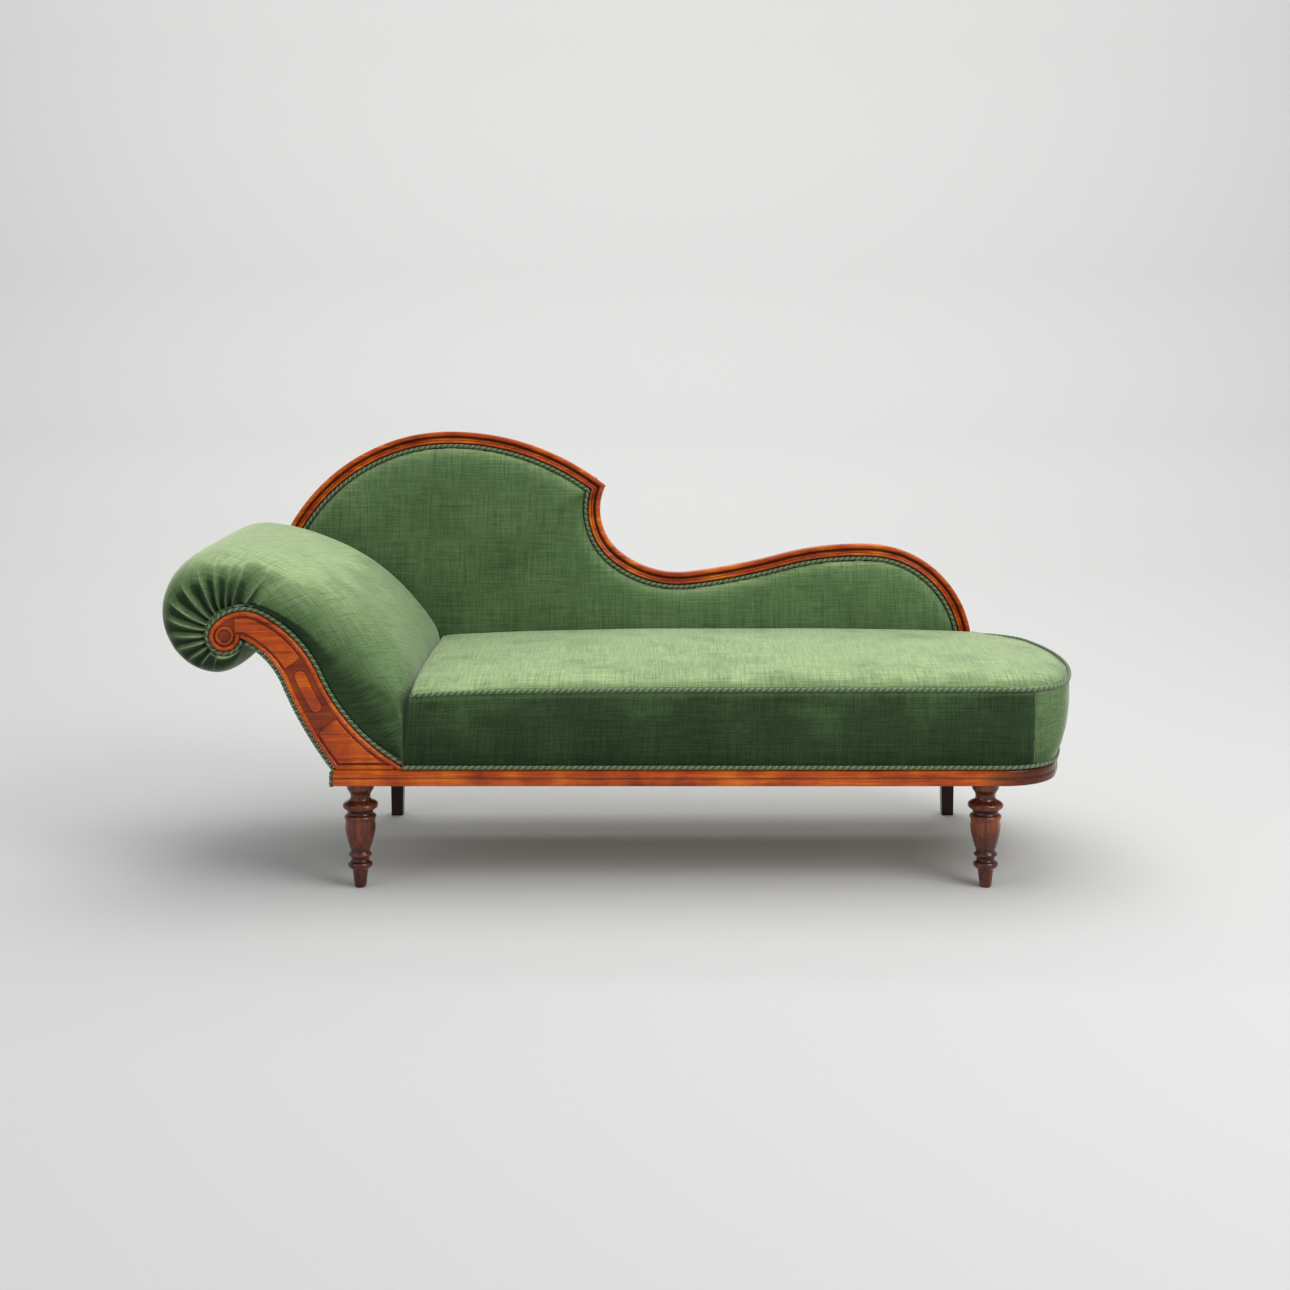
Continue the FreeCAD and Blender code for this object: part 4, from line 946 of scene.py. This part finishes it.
def ropes():
    """Ropes round the scroll, inside the back's frame, and along both seams of the seat's border."""
    beside = cord_radius + 0.3
    arm_level = 5.2
    upper = arm_upper(beside)
    lower = arm_lower(-beside)
    lower[-1] = stretch(lower[-1], 0, 0.9)
    down = Line(moulding_left - 4.4, leg_height - 1, 90.0, moulding_height - 5)
    across = straight(spot(down, 1), spot(lower[0], 0))
    lead = Line(*polar(*spot(upper[0], 0), -9.0, upper_heading), upper_heading, 9.0)
    rope("arm_rope_upper", [lead] + upper, arm_level, upright(rail_front), ["arm_cord"])
    rope("arm_rope_lower", [down, across] + lower, arm_level, upright(rail_front), ["arm_cord"])
    back_seam = 32.0
    back_level = -3.7
    arch, rest = back_path(back_seam)
    arch[0] = stretch(arch[0], 0.2, 1)
    rope("back_rope_crown", arch, back_level, leaning(), ["back_cord"])
    rope("back_rope_sweep", rest, back_level, leaning(), ["back_cord"])
    top = moulding_top + top_cord_height
    base = moulding_top + 4.8
    top_runs = round_the_seat(1.0 + cord_radius, top_cord_out, seam_x(top))
    base_runs = round_the_seat(cord_radius - 3.6, 0.0, seam_x(base))
    rope("seat_rope_top", top_runs, top, Matrix(), ["seat_top_cord"], cord_dip)
    rope("seat_rope_base", base_runs, base, Matrix(), ["seat_base_cord"])


# Seat

def crowned(distance, height, roll):
    """Height of a stuffed surface at a distance from its edge."""
    return height * (1 - math.exp(-distance / roll))


def seat_edge(y):
    """How far the seat's top reaches to the foot at a place across it."""
    corner, end, _ = bow(0.0, top_cord_out)
    middle = (rail_front + rail_rear) / 2
    away = abs(y - middle)
    limit = abs(spot(end, 0)[1] - middle)
    if away <= limit:
        return end.x + math.sqrt(end.radius ** 2 - away ** 2)
    inside = away - (middle - corner.y)
    return corner.x + math.sqrt(max(0.0, corner.radius ** 2 - inside ** 2))


def seat_height(x, y, seam):
    """Height of the stuffed seat over its seam: low at the head, domed, and falling to the rear."""
    rounding = 18
    behind_the_back = 400
    rear_fall = 8.0
    seam_tuck = 3.5
    unevenness = 1.6
    to_front = y - seat_front
    to_foot = (seat_edge(y) - 1.0 - x) * 0.92
    to_rear = rail_rear + moulding_depth - y
    to_rear += behind_the_back * (1 - smooth(x, back_end - 30, back_end + 30))
    ways = (to_front, to_foot, to_rear)
    soft = -math.log(sum(math.exp(-way / rounding) for way in ways)) * rounding
    near = max(0.0, min(*ways, soft))
    to_seam = max(0.0, x - seam)
    level = 0.42 + 0.58 * (1 - math.exp(-(to_seam / 220) ** 1.5))
    rise = (crowned(near, 13.0, 19.0) + crowned(near, 19.0, 110.0)) * level
    rise -= rear_fall * level * smooth(y, 20.0, seat_rear)
    rise -= cord_dip(x) * math.exp(-near / 70) + seam_tuck * math.exp(-to_seam / 14)
    return rise + unevenness * noise.noise(Vector((x / 170, y / 150, 3.1)))


def seat_top():
    """Velvet of the seat in front of the back, and the small piece behind the back's foot end."""
    base = moulding_top + top_cord_height
    seam = seam_x(base)
    bm = bmesh.new()
    for left, front, rear, across, along_count in (
            (seam, seat_front, seat_rear, 90, 190),
            (back_end + 1.0, seat_rear - 1.0, rail_rear + moulding_depth - 1.0, 16, 30)):
        rows = []
        for j in range(across + 1):
            y = front + (rear - front) * j / across
            edge = seat_edge(max(y, seat_front + 1.0)) - 1.0
            places = [left + (edge - left) * i / along_count for i in range(along_count + 1)]
            rows.append([((x, y, base + seat_height(x, y, seam)), (x, y)) for x in places])
        rows_bridged(bm, rows)
    piece = finish("seat_top_velvet", bm, velvet_cloth,
                   ["seat_top_cover", "seat_stuffing"], close=False)
    thicken(piece, 0.006)


def border_bulge(height):
    """How far the border stands proud and reaches to the foot at a height over the moulding."""
    levels = [(1.0, -4.0, 1.0), (30.0, 0.5, 9.0), (60.0, 2.5, 14.0), (105.0, 4.0, 18.5), (148.0, 4.0, 19.0),
              (top_cord_height, 0.0, top_cord_out)]
    low, high = next(pair for pair in zip(levels, levels[1:]) if height <= pair[1][0])
    share = (height - low[0]) / (high[0] - low[0])
    return low[1] + (high[1] - low[1]) * share, low[2] + (high[2] - low[2]) * share


def seat_border():
    """Upright velvet round the seat, in two cloths that meet in a seam at the foot's corner."""
    low = 1.0
    row_count = 26
    fine_steps = 2200
    front_count = 420
    foot_count = 680
    swell_depth = 1.5
    wave_depth = 0.9
    seam_pull = 2.5
    rows = []
    for j in range(row_count + 1):
        height = low + (top_cord_height - low) * j / row_count
        proud, out = border_bulge(height)
        z = moulding_top + height
        swell = math.sin(math.pi * j / row_count)
        places = walk(round_the_seat(proud + swell_depth * swell, out, seam_x(z) - 1.0), fine_steps)
        seam = min(k for k, ((x, y), _) in enumerate(places) if x > border_seam)
        after_seam = fine_steps - 1 - seam
        spaced = [round(seam * k / (front_count - 1)) for k in range(front_count)]
        spaced += [seam + round(after_seam * k / foot_count) for k in range(1, foot_count + 1)]
        row = []
        for k, ((x, y), heading) in enumerate(places[index] for index in spaced):
            wave = wave_depth * noise.noise(Vector((x / 90, z / 60, y / 90))) * swell
            if y < 0:
                wave -= seam_pull * math.exp(-abs(x - border_seam) / 4)
            px, py = polar(x, y, wave, heading - 90)
            row.append(((px, py, z - cord_dip(px) * j / row_count), (k * 3.0, z)))
        rows.append(row)
    # The foot's cloth is painted lighter: partly its turned nap, partly painted light on that side.
    for name, part, cloth, nodes in (
            ("seat_border_velvet", slice(0, front_count), velvet_cloth, ["seat_border"]),
            ("foot_border_velvet", slice(front_count - 1, None), velvet_turned_painted_lighter, [])):
        bm = bmesh.new()
        rows_bridged(bm, [row[part] for row in rows])
        piece = finish(name, bm, cloth, nodes, close=False)
        thicken(piece, 0.005)


# Back pad

def evenly_meshed(bm, cell):
    """Gives a drawn solid an even mesh of small cells."""
    bmesh.ops.recalc_face_normals(bm, faces=bm.faces)
    mesh = bpy.data.meshes.new("back_pad_form")
    bm.to_mesh(mesh)
    form = into_scene(bpy.data.objects.new("back_pad_form", mesh))
    remesh = form.modifiers.new("even", "REMESH")
    remesh.mode = "VOXEL"
    remesh.voxel_size = cell
    graph = bpy.context.evaluated_depsgraph_get()
    even = bpy.data.meshes.new_from_object(form.evaluated_get(graph))
    bpy.data.objects.remove(form)
    bpy.data.meshes.remove(mesh)
    bm.clear()
    bm.from_mesh(even)
    bpy.data.meshes.remove(even)


def back_pad():
    """Velvet inside the back's rope, crowned over its stuffing."""
    inset = 36.0
    foot = 40.0
    thickness = 8.0
    face_level = -8.0
    rear_level = -9.0
    unevenness = 1.2
    arch, rest = back_path(inset)
    left = spot(arch[0], 0)
    right = spot(rest[-1], 1)
    bm = bmesh.new()
    filled(bm, arch + rest + [Line(right[0], foot, 180.0, right[0] - left[0])], 3.0)
    raised(bm, bm.faces[:], thickness)
    evenly_meshed(bm, 5.0)
    edge_points = [Vector((*place, 0)) for place, _ in walk(arch + rest, 900)]
    tree = kdtree.KDTree(len(edge_points))
    for i, place in enumerate(edge_points):
        tree.insert(place, i)
    tree.balance()
    cloth = bm.verts.layers.float_vector.new("cloth")
    for vert in bm.verts:
        x, y, z = vert.co
        vert[cloth] = (x / 1000, y / 1000, 0)
        if z > thickness / 2:
            distance = tree.find(Vector((x, y, 0)))[2]
            rise = crowned(distance, 12.0, 7.0) + crowned(distance, 13.0, 60.0)
            rise += unevenness * noise.noise(Vector((x / 110, y / 120, 7.0)))
            vert.co.z = face_level + rise
        else:
            vert.co.z = rear_level
    piece = finish("back_velvet", bm, velvet_leaning_painted_lighter,
                   ["back_cover", "back_stuffing", "back_hessian", "back_webbing"], leaning())


# Head pad

def bearings(places):
    """Unbroken angles of places as seen from the volute's eye."""
    angles = []
    for (x, y), _ in places:
        angle = math.degrees(math.atan2(y - eye[1], x - eye[0]))
        while angles and angle < angles[-1] - 180:
            angle += 360
        angles.append(angle)
    return angles


def head_stations():
    """Places round the head, each on the scroll's rope and on the pad's outline.

    Up the head they are paired by their share of the way, and round the volute by angle.
    """
    fine_steps = 4000
    level_count = 240
    fan_count = 430
    fan_start = 46.0
    foot = (seam_foot, moulding_top + 0.5)
    under_volute = (-728.0, 477.0)
    arcs = chain(pad_start, pad_heading, pad_turns)
    under = tangent_arc(spot(arcs[2], 1), facing(arcs[2], 1), under_volute)
    beside_rope = arm_upper(2 * cord_radius + 0.4)
    lead = straight((foot[0] - 0.5, foot[1]), spot(beside_rope[0], 0))
    outer = walk([straight(foot, pad_start)] + arcs + [under], fine_steps)
    inner = walk([lead] + beside_rope, fine_steps)
    outer_angles = bearings(outer)
    inner_angles = bearings(inner)
    outer_fan = next(i for i, angle in enumerate(outer_angles) if angle > fan_start)
    inner_fan = next(i for i, angle in enumerate(inner_angles) if angle > fan_start)
    stations = []
    for k in range(level_count):
        share = k / level_count
        stations.append((inner[round(inner_fan * share)], outer[round(outer_fan * share)]))
    fan_end = min(outer_angles[-1], inner_angles[-1]) - 0.1
    i = inner_fan
    j = outer_fan
    for k in range(fan_count + 1):
        angle = fan_start + (fan_end - fan_start) * k / fan_count
        while inner_angles[i] < angle:
            i += 1
        while outer_angles[j] < angle:
            j += 1
        stations.append((inner[i], outer[j]))
    return stations


def pleat(angle):
    """Depth of the gathered folds at an angle round the volute, 0 on a crest, and their reach."""
    crests = [42, 56, 75, 87, 101, 115, 133, 151, 166, 182, 198, 215, 232, 252]
    full_width = 15
    outermost = 0.45
    reaches = (1.0, 0.84, 0.94, 0.8)
    for low, high in zip(crests, crests[1:]):
        if low <= angle < high:
            share = (angle - low) / (high - low)
            strength = min(1.0, (high - low) / full_width)
            if low == crests[0] or high == crests[-1]:
                strength *= outermost
            return strength * math.sin(math.pi * share ** 1.3) ** 0.6, reaches[low % len(reaches)]
    return 0.0, 1.0


def head_point(station, number, softness, y, drop, spread=1.0):
    """A point of the head's skin and its place on the cloth, dropped from the outline to the rope."""
    ((rope_x, rope_z), _), ((pad_x, pad_z), heading) = station
    length = math.hypot(pad_x - rope_x, pad_z - rope_z)
    fraction = min(1.0, drop * softness / max(length, 0.01))
    fraction = 1 - (1 - fraction) * spread
    x = pad_x + (rope_x - pad_x) * fraction
    z = pad_z + (rope_z - pad_z) * fraction
    out = 1 - fraction
    fold, reach = pleat(math.degrees(math.atan2(z - eye[1], x - eye[0])) % 360)
    fold *= smooth(out, 0.0, 0.05) * (1 - smooth(out, 0.46 * reach, 0.98 * reach))
    if y >= 0:
        fold = 0.0
    lump_height = 1.6 * (0.3 + 0.7 * smooth(y, -310, -200))
    lump = lump_height * noise.noise(Vector((x / 110, y / 120, z / 110)))
    x, z = polar(x, z, lump, heading - 90)
    # The fold's depth goes with the place on the cloth, for the velvet's painted shade in the folds.
    return (x, y + pleat_depth * fold, z), (number * 2.0, drop - y, fold)


def head_pad():
    """Roll, front face with its pleats, and the rear face, as one skin."""
    face_y = -312.6
    face_bulge = 10.4
    face_drop = 88.0
    rear_y = 212.5
    front_rows = [(face_y - face_bulge, face_drop), (-322.4, 80.0), (-321.0, 71.0), (-318.0, 61.0),
                  (-314.0, 52.0), (-308.5, 43.5), (-301.0, 35.0), (-292.0, 27.5), (-281.0, 20.5),
                  (-267.0, 14.5), (-250.0, 9.5), (-230.0, 5.5), (-206.0, 2.6), (-180.0, 0.9)]
    body_rows = [(-160.0 + 310.0 * k / 15, 0.0) for k in range(15)]
    rear_rows = [(150.0, 0.0), (170.0, 0.8), (184.0, 3.0), (195.0, 8.0), (203.0, 15.0),
                 (208.5, 26.0), (211.5, 40.0), (rear_y, 56.0)]
    round_rows = front_rows + body_rows + rear_rows
    face_rows = 26
    rows = [[] for _ in range(face_rows + len(round_rows) + 1)]
    for i, station in enumerate(head_stations()):
        rope_place, pad_place = station[0][0], station[1][0]
        length = math.dist(rope_place, pad_place)
        softness = min(1.0, 0.9 * length / face_drop) * (0.14 + 0.86 * smooth(i, 35, 130))
        for k in range(face_rows):
            share = k / face_rows
            y = face_y - face_bulge * math.sin(math.pi / 2 * share)
            rows[k].append(head_point(station, i, softness, y, face_drop, max(share, 0.0001)))
        for k, (y, drop) in enumerate(round_rows):
            rows[face_rows + k].append(head_point(station, i, softness, y, drop))
        rows[-1].append(((rope_place[0], rear_y, rope_place[1]), (i * 2.0, 300.0)))
    bm = bmesh.new()
    rows_bridged(bm, rows)
    piece = finish("head_velvet", bm, velvet_bias_painted_lighter,
                   ["head_cover", "head_stuffing", "head_hessian", "head_webbing"], crease=80)


# Outer covers and springs

def head_outside():
    """Velvet under the roll and down the outside of the head end."""
    lower = arm_lower(-1.3)
    bm = bmesh.new()
    depth = arm_board_rear - rail_front
    strips = 24
    section = [(0, depth * i / strips, 0) for i in range(strips + 1)]
    heel = spot(lower[0], 0)
    down = Line(heel[0] - 1.5, leg_height + 1.0, 90.0, heel[1] - leg_height - 3.0)
    carried(bm, section, [down, straight(spot(down, 1), heel)] + lower, 8.0, closed=False)
    cloth = bm.verts.layers.float_vector.new("cloth")
    for vert in bm.verts:
        vert[cloth] = ((vert.co.x + vert.co.y) / 1000, vert.co.z / 1000, 0)
    piece = finish("head_outside_velvet", bm, velvet_cloth, ["head_outside_cover"],
                   upright(arm_board_rear), close=False)
    thicken(piece, 0.002, 0)


def back_lining():
    """Plain cloth over the back's rear side, cut to the curve of the scroll."""
    arch, rest = back_path(4.0)
    right = spot(rest[-1], 1)
    edge = [arc._replace(y=arc.y - rail_top) for arc in arm_lower(1.0)]
    edge[0] = stretch(edge[0], 0.29, 1)
    heel = spot(edge[0], 0)
    bm = bmesh.new()
    filled(bm, arch + rest + [Line(right[0], heel[1], 180.0, right[0] - heel[0])] + edge, 4.0,
           -back_thickness - 2.3)
    raised(bm, bm.faces[:], 2.0)
    finish("back_outside_lining", bm, lining, ["back_outside_cover"], leaning())


def coils():
    """Waisted springs in three rows under the seat."""
    spring_rows = (-180.0, -26.0, 128.0)
    first_spring_x = -320.0
    spring_spacing = 184.0
    wire = 3.8
    waist = 24.0
    flare = 12.0
    low = leg_height + 2.3
    high = moulding_top + 104.7
    turns = 5.5
    count = 110
    for row, y in enumerate(spring_rows):
        for column in range(6):
            x = first_spring_x + spring_spacing * column
            points = []
            for i in range(count):
                share = i / (count - 1)
                radius = waist + flare * abs(2 * share - 1) ** 1.6
                points.append((*polar(x, y, radius, 360 * turns * share), low + (high - low) * share))
            nodes = ["seat_springs"] if row == 0 and column == 0 else []
            finish(f"spring_{row + 1}_{column + 1}", strand(wire, 1, points), steel, nodes)


# Camera, floor and light

def camera():
    """Camera of the photograph, worked out from the legs' feet and the rails."""
    view = into_scene(bpy.data.objects.new("camera", bpy.data.cameras.new("camera")))
    view.data.lens = 53.83
    view.data.sensor_width = 36.0
    view.data.shift_x = -0.0178
    view.data.shift_y = -0.2736
    view.location = Vector((0.0865, -4.042, 1.157)) + centring
    view.rotation_euler = (math.radians(90), 0, 0)
    bpy.context.scene.camera = view


def studio_floor():
    """Pale floor that bends up into a wall behind the couch."""
    pale, tree, shader = node_material("studio")
    plug(tree, shader, {"Base Color": (0.62, 0.62, 0.605, 1), "Roughness": 0.95, "Specular IOR Level": 0.1})
    bm = bmesh.new()
    edge = [bm.verts.new((-14, -9, 0)), bm.verts.new((14, -9, 0))]
    geometry = edge + [bm.edges.new(edge)]
    steps = [(0, 13.0, 0), (0, 0.6, 0.1), (0, 0.8, 0.35), (0, 0.5, 0.8), (0, 0.2, 1.2), (0, 0, 7)]
    for step in steps:
        geometry = drawn_on(bm, geometry, step)
    for face in bm.faces:
        face.smooth = True
    mesh = bpy.data.meshes.new("studio_floor")
    bm.to_mesh(mesh)
    bm.free()
    mesh.materials.append(pale)
    into_scene(bpy.data.objects.new("studio_floor", mesh))


def lamps():
    """Soft lamps: name, place, aim, size and watts. The last one lights the wall."""
    for name, place, aim, size, power in (("key", (2.8, -2.4, 3.4), (0, 0, 0.3), (2.4, 2.4), 100),
                                          ("fill", (-3.2, -3.0, 2.2), (0, 0, 0.4), (2.6, 2.6), 16),
                                          ("top", (0.2, 0.6, 3.8), (0, 0, 0.3), (3.2, 3.2), 78),
                                          ("backdrop", (0.0, 4.0, 3.9), (0, 5.0, 0.2), (9.0, 1.4), 135)):
        lamp = bpy.data.lights.new(name, "AREA")
        lamp.shape = "RECTANGLE"
        lamp.size, lamp.size_y = size
        lamp.energy = power
        holder = into_scene(bpy.data.objects.new(name, lamp))
        holder.location = place
        direction = Vector(aim) - Vector(place)
        holder.rotation_euler = direction.to_track_quat("-Z", "Y").to_euler()
    world = bpy.data.worlds.new("room")
    world.use_nodes = True
    room = world.node_tree.nodes["Background"]
    plug(world.node_tree, room, {"Color": (0.9, 0.92, 0.95, 1), "Strength": 0.55})
    bpy.context.scene.world = world
    bpy.context.scene.view_settings.view_transform = "Standard"


camera()
studio_floor()
lamps()
turned_legs()
back_members()
rail_mouldings()
scroll_panel()
ropes()
seat_top()
seat_border()
back_pad()
head_pad()
head_outside()
back_lining()
coils()
